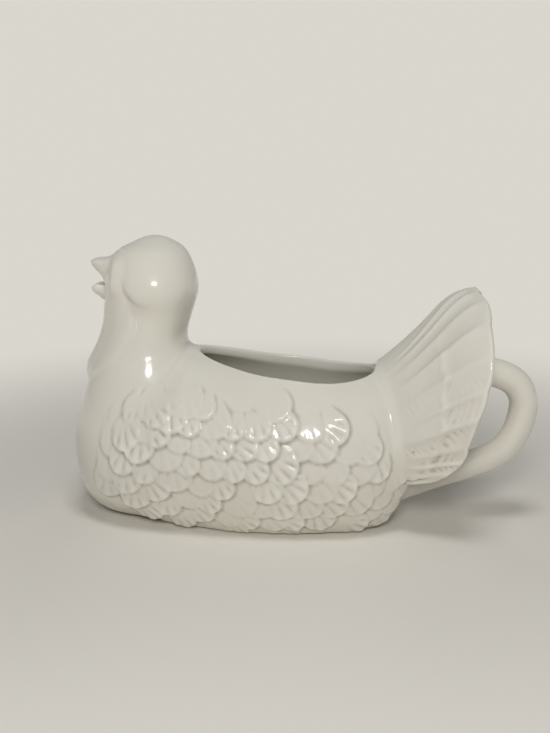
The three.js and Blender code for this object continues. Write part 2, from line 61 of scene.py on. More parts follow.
# Mouth of the bowl
MOUTH_LENGTH = 94.3
MOUTH_BREADTH = 56.2
MOUTH_REAR_INSET = 18.4  # before the rear wall
MOUTH_FRONT_SHARE = 0.58  # ahead of the widest place

# Head casting and beak
HEAD_LENGTH = 49.5  # face to back of the head
HEAD_BREADTH = 47.2
HEAD_HEIGHT = 53.2  # nape to crown
NAPE_HEIGHT = 100.0
FACE_SETBACK = 19.8  # face behind the breast front
SPOUT_BORE = 9.2
SPOUT_HEIGHT = 129.8
BILL_REACH = 8.4  # tip ahead of the face
BILL_BREADTH = 16.0
UPPER_BILL_TIP = 138.4
UPPER_BILL_DEPTH = 13.0
LOWER_BILL_TIP = 124.6
LOWER_BILL_DEPTH = 9.6

# Wattle, with a thinner and softer edge than the CAD part's
WATTLE_TOP = 143.0
WATTLE_DROP = 65.5
WATTLE_SPAN = 30.0  # fore and aft
WATTLE_PROUD = 2.9
WATTLE_EDGE = 0.2
WATTLE_ROUND = 7.5  # from the edge to the full thickness

# Feathers on the sides
FEATHER_BREADTH = 12.4
FEATHER_ROWS = 8
FEATHERS_LONG = 14  # feathers in the longest row
FEATHERS_START = 24.0  # first feather ahead of the rear wall
FIELD_LOW_SHARE = 0.2  # of the way round from underside to back
FIELD_HIGH_SHARE = 0.68

# Tail fan
TAIL_REACH = 40.0  # free edge behind the rear wall
TAIL_HEIGHT = 128.0
TAIL_BREADTH = 93.0
TAIL_THICKNESS = 4.6
TAIL_TAPER_SHARE = 0.3  # thickness lost at the free edge
TAIL_RIB = 1.5  # quills and seams over the hollows
TAIL_NOTCH = 1.8  # in the free edge
TAIL_COVERT = 1.1  # thickness of the short feathers at the root
TAIL_COVERT_SHARE = 0.56  # part of the reach that they cover
TAIL_ARCH = 3.8  # rise of the ridge over a straight line
TAIL_ARCH_LEAN = 37.0  # degrees forward from upright
TAIL_ARCH_LATENESS = 2.4  # more is nearer to the tip
TAIL_ARCH_NARROWNESS = 3  # more is nearer to the ridge

# Handle
HANDLE_THICKNESS = 15.4
HANDLE_REACH = 67.8  # back of the handle behind the rear wall
HANDLE_TOP = 82.6
HANDLE_FOOT = 17.0
HANDLE_TAPER_SHARE = 0.2  # thickness lost at the lower end
HANDLE_TAPER_POWER = 8.0  # more tapers later

BREAST_X = -BODY_LENGTH * BREAST_SHARE
REAR_X = BREAST_X + BODY_LENGTH
FACE_X = BREAST_X + FACE_SETBACK
FOOT_X = 1000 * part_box("body_shell")[0][0] - BREAST_X

# Silhouette in shares of the body's length, back height and half breadth, from rear to nape:
# underside x and z, back x and z, half breadth of the section between the two
FULLNESS = 2.12  # power of the sections' rounded square, 2 is an ellipse
BODY_SHARES = [
    (0.993, 0.169, 0.989, 0.705, 0.49),
    (0.945, 0.003, 0.934, 0.854, 0.72),
    (0.847, -0.079, 0.847, 0.92, 0.895),
    (0.694, -0.136, 0.694, 1, 0.985),
    (0.53, -0.138, 0.53, 1, 1),
    (0.387, -0.089, 0.415, 0.986, 0.973),
    (0.245, -0.035, 0.374, 0.986, 0.93),
    (0.103, 0.01, 0.362, 0.991, 0.83),
    (0.026, 0.138, 0.3545, 0.999, 0.74),
    (0, 0.402, 0.349, 1.009, 0.67),
    (0.021, 0.655, 0.3457, 1.025, 0.604),
    (0.0536, 0.835, 0.344, 1.057, 0.541),
]
REAR_POLE_SHARE = 0.444  # height of the rearmost point
# The same for the head, with x from the face and z from the nape
HEAD_SHARES = [
    (-0.051, -0.075, 0.881, 0.085, 0.945),
    (0.03, 0.207, 0.925, 0.216, 0.924),
    (0, 0.526, 1, 0.508, 1),
    (0.111, 0.818, 0.893, 0.827, 0.742),
    (0.293, 0.93, 0.707, 0.964, 0.381),
]
CROWN_SHARE = 0.505  # place of the highest point
# Reach ahead of the face, half breadth, depth below and height above the bill's middle line
BILL_SHARES = [
    (-1.1, 1, 0.9, 0.22),
    (-0.6, 1, 0.9, 0.22),
    (0, 0.92, 0.78, 0.22),
    (0.5, 0.7, 0.42, 0.2),
    (0.85, 0.38, 0.16, 0.12),
    (0.97, 0.16, 0.06, 0.06),
]
# Outline from the side: ahead of the face and below the top
WATTLE_SHARES = [
    (-0.233, 0),
    (-0.363, 0.032),
    (-0.377, 0.134),
    (-0.38, 0.253),
    (-0.44, 0.354),
    (-0.52, 0.447),
    (-0.567, 0.537),
    (-0.483, 0.638),
    (-0.34, 0.74),
    (-0.197, 0.824),
    (0.033, 0.881),
    (0.2, 0.944),
    (0.4, 1),
    (0.7, 1.1),
    (0.9, 0.9),
    (0.7, 0.6),
    (0.33, 0.41),
    (-0.047, 0.325),
    (-0.09, 0.185),
    (-0.133, 0.05),
]
# Behind the rear wall, half breadth and height, from the ridge to the lower end
TAIL_ROOT_SHARES = [
    (-0.45, 0, 0.655),
    (-0.37, 0.22, 0.643),
    (-0.26, 0.42, 0.58),
    (-0.16, 0.56, 0.47),
    (-0.13, 0.6, 0.37),
    (-0.11, 0.58, 0.3),
    (-0.09, 0.54, 0.24),
    (-0.09, 0.5, 0.215),
]
TAIL_EDGE_SHARES = [
    (0.82, 0, 0.985),
    (0.94, 0.42, 0.95),
    (0.965, 0.84, 0.82),
    (0.94, 1, 0.66),
    (0.79, 0.98, 0.51),
    (0.68, 0.89, 0.37),
    (0.47, 0.8, 0.28),
    (0.03, 0.64, 0.235),
]
# Seams between the tail feathers of one half, from the ridge to the lower end
TAIL_SEAM_SHARES = [0, 0.216, 0.434, 0.658, 0.818, 1]
TAIL_FEATHERS = 2 * (len(TAIL_SEAM_SHARES) - 1)
# Behind the rear wall, and height between foot and top
HANDLE_SHARES = [
    (-0.12, 0.93),
    (0.2, 0.975),
    (0.48, 1),
    (0.68, 0.985),
    (0.82, 0.91),
    (0.885, 0.79),
    (0.885, 0.66),
    (0.84, 0.5),
    (0.75, 0.36),
    (0.62, 0.268),
    (0.44, 0.192),
    (0.22, 0.107),
    (-0.05, -0.02),
]


def placed(name, data):
    """An object in the scene with this data"""
    made = bpy.data.objects.new(name, data)
    bpy.context.collection.objects.link(made)
    return made


# Node trees


def net_of(owner):
    """The emptied node tree of a material or world"""
    owner.use_nodes = True
    owner.node_tree.nodes.clear()
    return Net(owner.node_tree)


class Net:
    """A node tree, with one way to add any node"""

    def __init__(self, tree):
        self.tree = tree

    def node(self, kind, settings=None, inputs=None):
        made = self.tree.nodes.new(kind)
        for name, value in (settings or {}).items():
            setattr(made, name, value)
        for key, value in (inputs or {}).items():
            if isinstance(value, Num):
                value = value.socket
            if isinstance(value, bpy.types.NodeSocket):
                self.tree.links.new(value, made.inputs[key])
            else:
                made.inputs[key].default_value = value
        return made

    def num(self, kind, settings=None, inputs=None, output=0):
        return Num(self, self.node(kind, settings, inputs).outputs[output])

    def mixed(self, factor, first, second):
        """A colour between two"""
        inputs = {0: factor, 6: first, 7: second}
        return self.node("ShaderNodeMix", {"data_type": "RGBA"}, inputs).outputs[2]


class Num:
    """A number socket that takes Python's operators"""

    def __init__(self, net, socket):
        self.net = net
        self.socket = socket

    def math(self, operation, *others):
        values = dict(enumerate((self,) + others))
        return self.net.num("ShaderNodeMath", {"operation": operation}, values)

    def __add__(self, other):
        return self.math("ADD", other)

    def __sub__(self, other):
        return self.math("SUBTRACT", other)

    def __mul__(self, other):
        return self.math("MULTIPLY", other)

    def __truediv__(self, other):
        return self.math("DIVIDE", other)

    def __pow__(self, other):
        return self.math("POWER", other)

    def __rsub__(self, other):
        return self.net.num("ShaderNodeMath", {"operation": "SUBTRACT"}, {0: other, 1: self})

    def __neg__(self):
        return self.math("MULTIPLY", -1.0)

    __radd__ = __add__
    __rmul__ = __mul__

    def most(self, other):
        return self.math("MAXIMUM", other)

    def least(self, other):
        return self.math("MINIMUM", other)

    def within(self, low, high):
        return self.most(low).least(high)

    def step(self, low, high):
        """0 below low, 1 above high, smooth between"""
        settings = {"interpolation_type": "SMOOTHSTEP"}
        return self.net.num("ShaderNodeMapRange", settings, {0: self, 1: low, 2: high})


# Curves and skins


def spline(points, shares, closed=False, even=False):
    """Smooth curve through points, at shares of its spans. Even spacing of knots, or centripetal"""
    points = np.array(points, float)
    spans = len(points) if closed else len(points) - 1
    at = np.asarray(shares, float) * spans
    first = np.floor(at).astype(int)
    if not closed:
        first = np.clip(first, 0, spans - 1)
    weight = (at - first)[..., None]
    if closed:
        p = [points[(first + k) % spans] for k in (-1, 0, 1, 2)]
    else:
        padded = np.vstack([2 * points[0] - points[1], points, 2 * points[-1] - points[-2]])
        p = [padded[first + k] for k in (0, 1, 2, 3)]
    if even:
        d = [1.0, 1.0, 1.0]
    else:
        d = [np.linalg.norm(b - a, axis=-1, keepdims=True) ** 0.5 for a, b in zip(p, p[1:])]
    leave = ((p[1] - p[0]) / d[0] - (p[2] - p[0]) / (d[0] + d[1]) + (p[2] - p[1]) / d[1]) * d[1]
    arrive = ((p[2] - p[1]) / d[1] - (p[3] - p[1]) / (d[1] + d[2]) + (p[3] - p[2]) / d[2]) * d[1]
    cube = 2 * p[1] - 2 * p[2] + leave + arrive
    square = -3 * p[1] + 3 * p[2] - 2 * leave - arrive
    return ((cube * weight + square) * weight + leave) * weight + p[1]


def body_point(x, z, breadth):
    return (BREAST_X + x * BODY_LENGTH, breadth * BODY_BREADTH / 2, z * BACK_HEIGHT)


def head_point(x, z, breadth):
    return (FACE_X + x * HEAD_LENGTH, breadth * HEAD_BREADTH / 2, NAPE_HEIGHT + z * HEAD_HEIGHT)


UNDERSIDE = [body_point(a, b, h) for a, b, _, _, h in BODY_SHARES]
UNDERSIDE += [head_point(a, b, h) for a, b, _, _, h in HEAD_SHARES]
BACK = [body_point(c, d, -h) for _, _, c, d, h in BODY_SHARES]
BACK += [head_point(c, d, -h) for _, _, c, d, h in HEAD_SHARES]
SILHOUETTE = [body_point(1, REAR_POLE_SHARE, 0), *UNDERSIDE, head_point(CROWN_SHARE, 1, 0)]
SILHOUETTE += BACK[::-1]
STATIONS = len(UNDERSIDE) + 1


def section(stations, angles):
    """Points of the loft: angle 0 is the underside or front, half a turn the back"""
    share = np.asarray(stations) / (2 * STATIONS)
    under = spline(SILHOUETTE, share, closed=True, even=True)
    back = spline(SILHOUETTE, 1 - share, closed=True, even=True)
    power = 2 / FULLNESS
    along = np.sign(np.cos(angles)) * np.abs(np.cos(angles)) ** power
    across = np.sign(np.sin(angles)) * np.abs(np.sin(angles)) ** power
    weight = ((1 + along) / 2)[..., None]
    points = back * (1 - weight) + under * weight
    points[..., 1] = under[..., 1] * across
    return points


SIDE_SAMPLES = 600
side_stations = np.arange(SIDE_SAMPLES + 1) / SIDE_SAMPLES * STATIONS
side_line = section(side_stations, np.full(SIDE_SAMPLES + 1, math.pi / 2))
side_steps = np.linalg.norm(np.diff(side_line, axis=0), axis=1)
side_distances = np.concatenate([[0], np.cumsum(side_steps)])
SIDE_LENGTH = side_distances[-1]


def closed_skin(rings, tips):
    """Points, quads and triangles of a skin of rings, with a tip at each end"""
    count, around = rings.shape[:2]
    points = np.vstack([rings.reshape(-1, 3), tips])
    here = np.arange(count * around).reshape(count, around)
    beside = np.roll(here, -1, axis=1)
    quads = np.stack([here[1:], beside[1:], beside[:-1], here[:-1]], -1).reshape(-1, 4)
    first, last = count * around, count * around + 1
    start = np.stack([np.full(around, first), here[0], beside[0]], -1)
    end = np.stack([np.full(around, last), beside[-1], here[-1]], -1)
    return points, quads, np.vstack([start, end])


LOFT_FACET = 0.5


def loft(points_round):
    """The plain skin of body and head, and what its feathers go by at each point: distance from
    the rear, share of half a turn, and millimetres of skin for each unit of these two"""
    count = round(SIDE_LENGTH / LOFT_FACET)
    distances = (np.arange(count) + 0.5) / count * SIDE_LENGTH
    stations = np.interp(distances, side_distances, side_stations)
    angles = np.arange(points_round) / points_round * 2 * math.pi
    at_station, at_angle = np.meshgrid(stations, angles, indexing="ij")
    rings = section(at_station, at_angle)
    tips = spline(SILHOUETTE, np.array([0, 0.5]), closed=True, even=True)
    points, quads, triangles = closed_skin(rings, tips)
    lengthwise = np.gradient(rings, distances, axis=0)
    crosswise = np.roll(rings, -1, 1) - np.roll(rings, 1, 1)
    marks = {
        "along": np.broadcast_to(distances[:, None], at_station.shape),
        "share": 1 - np.abs(at_angle / math.pi - 1),
        "long_scale": np.linalg.norm(lengthwise, axis=2),
        "round_scale": np.linalg.norm(crosswise, axis=2) * points_round / 4,
    }
    marks = {name: np.append(values, [0, 0]) for name, values in marks.items()}
    return points, quads, triangles, marks


def mesh_of(name, points, quads, triangles=()):
    mesh = bpy.data.meshes.new(name)
    faces = [list(map(int, q)) for q in quads] + [list(map(int, t)) for t in triangles]
    mesh.from_pydata([tuple(p) for p in points], [], faces)
    mesh.update()
    return mesh


def arrays_of(mesh):
    """Points and triangles of a mesh"""
    points = np.empty(len(mesh.vertices) * 3, np.float32)
    mesh.vertices.foreach_get("co", points)
    mesh.calc_loop_triangles()
    triangles = np.empty(len(mesh.loop_triangles) * 3, np.int32)
    mesh.loop_triangles.foreach_get("vertices", triangles)
    return points.reshape(-1, 3), triangles.reshape(-1, 3)


# Geometry Nodes


def tree_with(name, sizes):
    """A geometry tree with a geometry in and out and named sizes"""
    tree = bpy.data.node_groups.new(name, "GeometryNodeTree")
    tree.interface.new_socket("Geometry", in_out="INPUT", socket_type="NodeSocketGeometry")
    tree.interface.new_socket("Geometry", in_out="OUTPUT", socket_type="NodeSocketGeometry")
    tree.interface.new_socket("Finish", in_out="INPUT", socket_type="NodeSocketMaterial")
    for size in sizes:
        tree.interface.new_socket(size, in_out="INPUT", socket_type="NodeSocketFloat")
    net = Net(tree)
    entry = net.node("NodeGroupInput")
    given = {size: Num(net, entry.outputs[size]) for size in sizes}
    return net, entry, given


def end_tree(net, entry, geometry):
    real = net.node("GeometryNodeRealizeInstances", inputs={"Geometry": geometry})
    finished = net.node(
        "GeometryNodeSetMaterial",
        inputs={"Geometry": real.outputs[0], "Material": entry.outputs["Finish"]},
    )
    net.node("NodeGroupOutput", inputs={"Geometry": finished.outputs[0]})


def grown(mesh, net, finish, values):
    """The plain mesh that a tree makes of a mesh, with its named sizes set"""
    holder = placed(mesh.name, mesh)
    modifier = holder.modifiers.new("shape", "NODES")
    modifier.node_group = net.tree
    for item in net.tree.interface.items_tree:
        if item.in_out == "INPUT" and item.name == "Finish":
            modifier[item.identifier] = finish
        elif item.in_out == "INPUT" and item.name in values:
            modifier[item.identifier] = float(values[item.name])
    evaluated = holder.evaluated_get(bpy.context.evaluated_depsgraph_get())
    result = bpy.data.meshes.new_from_object(evaluated)
    bpy.data.objects.remove(holder)
    return result


PLUMAGE_SIZES = {
    "Feather Breadth": FEATHER_BREADTH,
    "Field Start": FEATHERS_START,
    "Feathers Long": FEATHERS_LONG,
    "Rows": FEATHER_ROWS + 1,
    "Top Row Chance": 0.55,
    "Low Share": FIELD_LOW_SHARE,
    "Row Share": (FIELD_HIGH_SHARE - FIELD_LOW_SHARE) / FEATHER_ROWS,
    "Lean": 0.6,  # radians from straight down, toward the tail
    "End Radius": 8.3,
    "Shank": 8.0,
    "Proud": 2.75,
    "Bead": 0.15,
    "Barb Depth": 1.2,
    "Barb Pitch": 0.34,  # radians between barbs where they spread
    "Disorder": 1.35,
    "Seed": 7.0,
}

# How a feather differs from its neighbours, for one unit of disorder
SHIFT_ALONG = 3.4  # millimetres
SHIFT_UP = 2.6
TURN = 0.7  # radians
SWELL = 0.34  # share of its radius
THICKEN = 0.5  # share of its height
BARB_VARIETY = 1.6
BARB_PHASE = 9.0

# A feather's form, in millimetres inside its edge or ahead of its middle
COLUMN_LEAD = 0.22  # of a feather's breadth: its lean brings the next feather nearer
EDGE_FALL = (-0.2, 0.6)
BACK_POWER = 0.75  # less rises sooner from the root
BEAD_INSET = 1.5
BEAD_POWER = 0.8
BEAD_LEAN = -0.4
BEAD_FADE = (-5.0, 4.0)
BARB_SPREAD = 3.0  # barbs meet this far behind the shank
BARB_POWER = 2.2  # more makes narrower grooves
BARB_USUAL = 0.65
BARB_LEAST = 0.25
BARB_EDGE_FADE = (-0.5, 1.8)
BARB_ROOT_FADE = (-4.5, 3.0)

# A row loses feathers at each end by the square of its distance from the longest row
FRONT_LONGEST_ROW = 5.0
FRONT_LOSS = 0.125
FRONT_LEAST = 0.3
FRONT_MOST = 3.4
REAR_LONGEST_ROW = 3.3
REAR_LOSS = 0.17


def plumage():
    """Relief of overlapping feathers: the highest of the feathers near each point of a skin"""
    net, entry, size = tree_with("plumage", PLUMAGE_SIZES)
    along, share, long_scale, round_scale = [
        net.num("GeometryNodeInputNamedAttribute", inputs={"Name": name})
        for name in ("along", "share", "long_scale", "round_scale")
    ]
    breadth = size["Feather Breadth"]
    place = (along - size["Field Start"]) / breadth
    height = (share - size["Low Share"]) / size["Row Share"]
    feather_length = breadth * long_scale
    row_height = size["Row Share"] * round_scale
    relief = None
    for row_step in (-1.0, 0.0, 1.0):
        row = (height + row_step).math("ROUND")
        stagger = row.math("MODULO", 2.0) * 0.5
        for column_step in (0.0, 1.0):
            column = (place + COLUMN_LEAD - stagger).math("FLOOR") + column_step
            spot = net.node("ShaderNodeCombineXYZ", inputs={0: row, 1: column, 2: size["Seed"]})
            noise = net.node("ShaderNodeTexWhiteNoise", inputs={"Vector": spot.outputs[0]})
            split = net.node("ShaderNodeSeparateXYZ", inputs={0: noise.outputs["Color"]})
            shift, swell, turn = [
                (Num(net, split.outputs[i]) - 0.5) * size["Disorder"] for i in range(3)
            ]
            # Place in the feather: ahead toward its free end, aside across it
            du = (place - column - stagger) * feather_length - shift * SHIFT_ALONG
            dv = (height - row) * row_height - swell * SHIFT_UP
            lean = size["Lean"] + turn * TURN
            down, rearward = lean.math("COSINE"), lean.math("SINE")
            ahead = -(du * rearward) - dv * down
            aside = du * down - dv * rearward
            radius = size["End Radius"] * (1.0 + swell * SWELL)
            reach = (ahead.most(0.0) ** 2.0 + aside * aside).math("SQRT")
            edge = radius - reach
            from_root = (ahead + size["Shank"]) / (size["Shank"] + radius)
            rise = from_root.within(0.0, 1.0) ** BACK_POWER
            off_bead = ((edge - BEAD_INSET) / BEAD_INSET).math("ABSOLUTE")
            bead = (1.0 - off_bead).most(0.0) ** BEAD_POWER
            bead = bead * (ahead + aside * BEAD_LEAN).step(*BEAD_FADE)
            fan = aside.math("ARCTAN2", ahead + size["Shank"] + BARB_SPREAD)
            barb = fan / size["Barb Pitch"] * 2.0 * math.pi + turn * BARB_PHASE
            barb = (barb.math("COSINE") * 0.5 + 0.5) ** BARB_POWER
            barb = barb * edge.step(*BARB_EDGE_FADE) * ahead.step(*BARB_ROOT_FADE)
            barb = barb * (shift * BARB_VARIETY + BARB_USUAL).within(BARB_LEAST, 1.0)
            shape = rise * edge.step(*EDGE_FALL) * size["Proud"] * (1.0 + shift * THICKEN)
            shape = shape + rise * (bead * size["Bead"] - barb * size["Barb Depth"])
            front = ((FRONT_LONGEST_ROW - row) ** 2.0 * FRONT_LOSS + FRONT_LEAST).least(FRONT_MOST)
            rear = (row - REAR_LONGEST_ROW) ** 2.0 * REAR_LOSS
            inside = (column + stagger - rear + 0.5).least(
                size["Feathers Long"] - front - column - stagger
            )
            shown = inside.within(0.0, 1.0) * row.math("GREATER_THAN", -0.5)
            shown = shown * row.math("LESS_THAN", size["Rows"] - 0.5)
            full = row.math("LESS_THAN", size["Rows"] - 1.5)
            chance = Num(net, noise.outputs["Value"]).math("LESS_THAN", size["Top Row Chance"])
            shown = shown * full.most(chance)
            shape = shape * shown
            relief = shape if relief is None else relief.most(shape)
    outward = net.node("GeometryNodeInputNormal")
    lifted = net.node(
        "ShaderNodeVectorMath",
        {"operation": "SCALE"},
        {0: outward.outputs[0], "Scale": relief},
    )
    moved = net.node(
        "GeometryNodeSetPosition",
        inputs={"Geometry": entry.outputs["Geometry"], "Offset": lifted.outputs[0]},
    )
    end_tree(net, entry, moved.outputs[0])
    return net


STRAP_SIZES = {
    "Thickness": HANDLE_THICKNESS,
    "Taper": HANDLE_TAPER_SHARE,
    "Taper Power": HANDLE_TAPER_POWER,
}


def strap():
    """A round strap along a line of points, thinner toward its last end"""
    net, entry, size = tree_with("strap", STRAP_SIZES)
    line = net.node("GeometryNodeMeshToCurve", inputs={"Mesh": entry.outputs["Geometry"]})
    share = net.num("GeometryNodeSplineParameter")
    radius = size["Thickness"] * 0.5 * (1.0 - size["Taper"] * share ** size["Taper Power"])
    sized = net.node(
        "GeometryNodeSetCurveRadius", inputs={"Curve": line.outputs[0], "Radius": radius}
    )
    ring = net.node("GeometryNodeCurvePrimitiveCircle", inputs={"Resolution": 48, "Radius": 1.0})
    tube = net.node(
        "GeometryNodeCurveToMesh",
        inputs={
            "Curve": sized.outputs[0],
            "Profile Curve": ring.outputs["Curve"],
            "Scale": radius,
            "Fill Caps": True,
        },
    )
    end_tree(net, entry, tube.outputs[0])
    return net


# Distance fields: negative inside, in millimetres


class Grid:
    """A box of evenly spaced points on which fields are compared"""

    def __init__(self, low, high, pitch):
        self.pitch = pitch
        self.first = np.floor(np.array(low) / pitch).astype(int)
        self.shape = tuple(np.ceil(np.array(high) / pitch).astype(int) - self.first + 1)
        axes = [(np.arange(n) + f) * pitch for n, f in zip(self.shape, self.first)]
        self.x, self.y, self.z = np.meshgrid(*axes, indexing="ij", sparse=True)
        self.transform = openvdb.createLinearTransform(voxelSize=pitch)

    def field(self, points, quads, triangles, band):
        """Distance to a closed skin, right as far as band from it"""
        grid = openvdb.FloatGrid.createLevelSetFromPolygons(
            np.asarray(points, np.float32),
            triangles=np.asarray(triangles, np.uint32).reshape(-1, 3),
            quads=np.asarray(quads, np.uint32).reshape(-1, 4),
            transform=self.transform,
            halfWidth=band / self.pitch,
        )
        out = np.zeros(self.shape, np.float32)
        grid.copyToArray(out, ijk=tuple(int(v) for v in self.first))
        return out

    def resampled(self, other, values):
        """Another grid's values at this grid's points, with a smooth curve between them"""
        for axis in range(3):
            places = (np.arange(self.shape[axis]) + self.first[axis]) * self.pitch / other.pitch
            places = np.clip(places - other.first[axis], 1, other.shape[axis] - 2.001)
            low = places.astype(int)
            t = (places - low).astype(np.float32)
            weights = (
                -0.5 * t + t**2 - 0.5 * t**3,
                1 - 2.5 * t**2 + 1.5 * t**3,
                0.5 * t + 2 * t**2 - 1.5 * t**3,
                -0.5 * t**2 + 0.5 * t**3,
            )
            reach = [1, 1, 1]
            reach[axis] = -1
            values = sum(
                np.take(values, low + k - 1, axis) * weight.reshape(reach)
                for k, weight in enumerate(weights)
            )
        return values

    def skin(self, field):
        """Points and quads where a field passes zero, facing outward"""
        grid = openvdb.FloatGrid(float(field.max()))
        grid.copyFromArray(field, ijk=tuple(int(v) for v in self.first))
        grid.transform = self.transform
        points, quads = grid.convertToQuads(isovalue=0.0)
        return np.asarray(points), np.asarray(quads)

    def sample(self, values, points):
        """Values at points between the grid's own"""
        at = np.clip(points / self.pitch - self.first, 0, np.array(self.shape) - 1.001)
        low = at.astype(int)
        part = at - low
        total = 0
        for corner in range(8):
            step = np.array([corner & 1, corner >> 1 & 1, corner >> 2 & 1])
            weight = np.prod(np.where(step, part, 1 - part), axis=1)
            total = total + weight * values[tuple((low + step).T)]
        return total


def melt(a, b, round_):
    """Union of two fields with a fillet"""
    near = np.maximum(round_ - np.abs(a - b), 0) / round_
    return np.minimum(a, b) - near * near * round_ / 4


def meet(a, b, round_):
    """What two fields share, with a rounded edge"""
    return -melt(-a, -b, round_)


def softened(field):
    """The field under a coat of glaze, which rounds edges and fills creases"""
    for axis in range(3):
        before = np.roll(field, 1, axis)
        after = np.roll(field, -1, axis)
        field = field * 0.5 + (before + after) * 0.25
    return field


ROOT_DEPTH = 2.5  # an added form ends this far below the body's skin and beyond its fillet
ROOT_EDGE = 0.5
ROOT_SINK = 0.02  # root under the body's skin, and how fast it goes lower beyond the fillet
ROOT_SINK_RATE = 0.006


def rooted(form, plain, fillet):
    """An added form with its fillet on the body, closed below the body's skin"""
    sunk = plain + ROOT_SINK + ROOT_SINK_RATE * np.maximum(form - fillet, 0) ** 2
    joined = melt(form, sunk, fillet)
    joined = meet(joined, -(plain + ROOT_DEPTH), ROOT_EDGE)
    return np.maximum(joined, form - fillet - ROOT_DEPTH)


def smoothly(value, low, high):
    """0 below low, 1 above high, smooth between"""
    t = np.clip((value - low) / (high - low), 0, 1)
    return t * t * (3 - 2 * t)


def outline_distance(grid, outline):
    """Distance from an outline in the side view, negative inside, over the grid's x and z"""
    px, pz = np.meshgrid(grid.x[:, 0, 0], grid.z[0, 0, :], indexing="ij")
    nearest = np.full(px.shape, np.inf)
    inside = np.zeros(px.shape, bool)
    for (ax, az), (bx, bz) in zip(outline, np.roll(outline, -1, axis=0)):
        dx, dz = bx - ax, bz - az
        along = np.clip(((px - ax) * dx + (pz - az) * dz) / (dx * dx + dz * dz), 0, 1)
        nearest = np.minimum(nearest, np.hypot(px - ax - along * dx, pz - az - along * dz))
        crossed = (az > pz) != (bz > pz)
        passed = (pz - az) / (dz if dz else 1.0)
        inside ^= crossed & (px < ax + passed * dx)
    return np.where(inside, -nearest, nearest).astype(np.float32)[:, None, :]


loft_grid = Grid((-106, -54, -9), (95, 54, 163), 0.6)
loft_field = loft_grid.field(*loft(points_round=480)[:3], band=8.5)


# Pieces


def finished(name, grid, field, node, slot, finish, most):
    """A piece's mesh from its field, of at most so many triangles, in the frame, standing for its
    CAD node. The bend attribute is above 0 on edges and below 0 in creases, for the glaze"""
    field = softened(field)
    points, quads = grid.skin(field)
    mesh = mesh_of(name, points, quads)
    piece = placed(name, mesh)
    count = 2 * len(quads)
    if count > most:
        thin = piece.modifiers.new("thin", "DECIMATE")
        thin.ratio = most / count
        evaluated = piece.evaluated_get(bpy.context.evaluated_depsgraph_get())
        piece.data = bpy.data.meshes.new_from_object(evaluated)
        piece.modifiers.clear()
        mesh = piece.data
    points, _ = arrays_of(mesh)
    smooth = softened(field)
    slopes = np.gradient(smooth)
    normals = np.stack([grid.sample(s, points) for s in slopes], -1)
    normals /= np.linalg.norm(normals, axis=1, keepdims=True) + 1e-9
    bend = sum(np.roll(smooth, 1, a) + np.roll(smooth, -1, a) for a in range(3)) - 6 * smooth
    bend = grid.sample(softened(bend), points) / grid.pitch**2
    relief = mesh.attributes.new("bend", "FLOAT", "POINT")
    relief.data.foreach_set("value", bend.astype(np.float32))
    moved = (points + (FOOT_X, 0, 0)) * 0.001
    mesh.vertices.foreach_set("co", moved.astype(np.float32).ravel())
    mesh.update()
    mesh.shade_smooth()
    mesh.normals_split_custom_set_from_vertices([tuple(n) for n in normals])
    mesh.materials.clear()
    mesh.materials.append(finish)
    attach(piece, "root")
    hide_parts(node)


def egg_field(grid):
    """The mouth's outline seen from above: two half ellipses, the blunt one toward the tail"""
    front = MOUTH_LENGTH * MOUTH_FRONT_SHARE
    rear = MOUTH_LENGTH - front
    widest = REAR_X - MOUTH_REAR_INSET - rear
    x, y = grid.x - widest, grid.y
    long_ = np.where(x > 0, rear, front)
    wide = MOUTH_BREADTH / 2
    whole = np.sqrt((x / long_) ** 2 + (y / wide) ** 2)
    slope = np.sqrt((x / long_**2) ** 2 + (y / wide**2) ** 2)
    return (whole * (whole - 1) / np.maximum(slope, 1e-6)).astype(np.float32)


RIM_ROUND = 2.2
MOUTH_CUT_START = 50  # height above which the mouth is cut


def mouthed(grid, field):
    """What is left of a form round the mouth, with a rounded rim"""
    return meet(field, -np.maximum(egg_field(grid), MOUTH_CUT_START - grid.z), RIM_ROUND)


SEAM_LAP = 5  # each casting runs on this far beyond the seam
SEAM_TUCK = 0.02


def seam_tuck(beyond):
    """How much a casting's lap thins beyond the seam, so that only one of the two shows"""
    return SEAM_TUCK * np.maximum(beyond, 0) ** 2


PLUMAGE_BAND = 3.0
BOWL_CORNER = 7.0
INNER_RIM_ROUND = 0.7
FOOT_EDGE = 1.4
RECESS_EDGE = 0.8


def body_piece(finish):
    grid = Grid((-101, -49, -3), (90, 49, 110), 0.6)
    points, quads, triangles, marks = loft(points_round=512)
    plain = grid.resampled(loft_grid, loft_field)
    skin = mesh_of("plumage_skin", points, quads, triangles)
    for name, values in marks.items():
        attribute = skin.attributes.new(name, "FLOAT", "POINT")
        attribute.data.foreach_set("value", values.astype(np.float32))
    feathered, faces = arrays_of(grown(skin, plumage(), finish, PLUMAGE_SIZES))
    outer = grid.field(feathered, np.zeros((0, 4)), faces, PLUMAGE_BAND)
    near = plain < PLUMAGE_BAND + 1
    outer = np.where(near, np.minimum(outer, plain + PLUMAGE_BAND), plain)
    tuck = seam_tuck(grid.z - SEAM_HEIGHT)
    hollow = meet(plain + WALL - tuck, FLOOR - grid.z, BOWL_CORNER)
    body = meet(mouthed(grid, outer + tuck), -hollow, INNER_RIM_ROUND)
    body = meet(body, -grid.z, FOOT_EDGE)
    recess = meet(plain + FOOT_RING, grid.z - FOOT_RECESS, RECESS_EDGE)
    body = meet(body, -recess, RECESS_EDGE)
    body = np.maximum(body, grid.z - SEAM_HEIGHT - SEAM_LAP)
    finished("body", grid, body, "body_shell", "body_glaze", finish, most=190000)


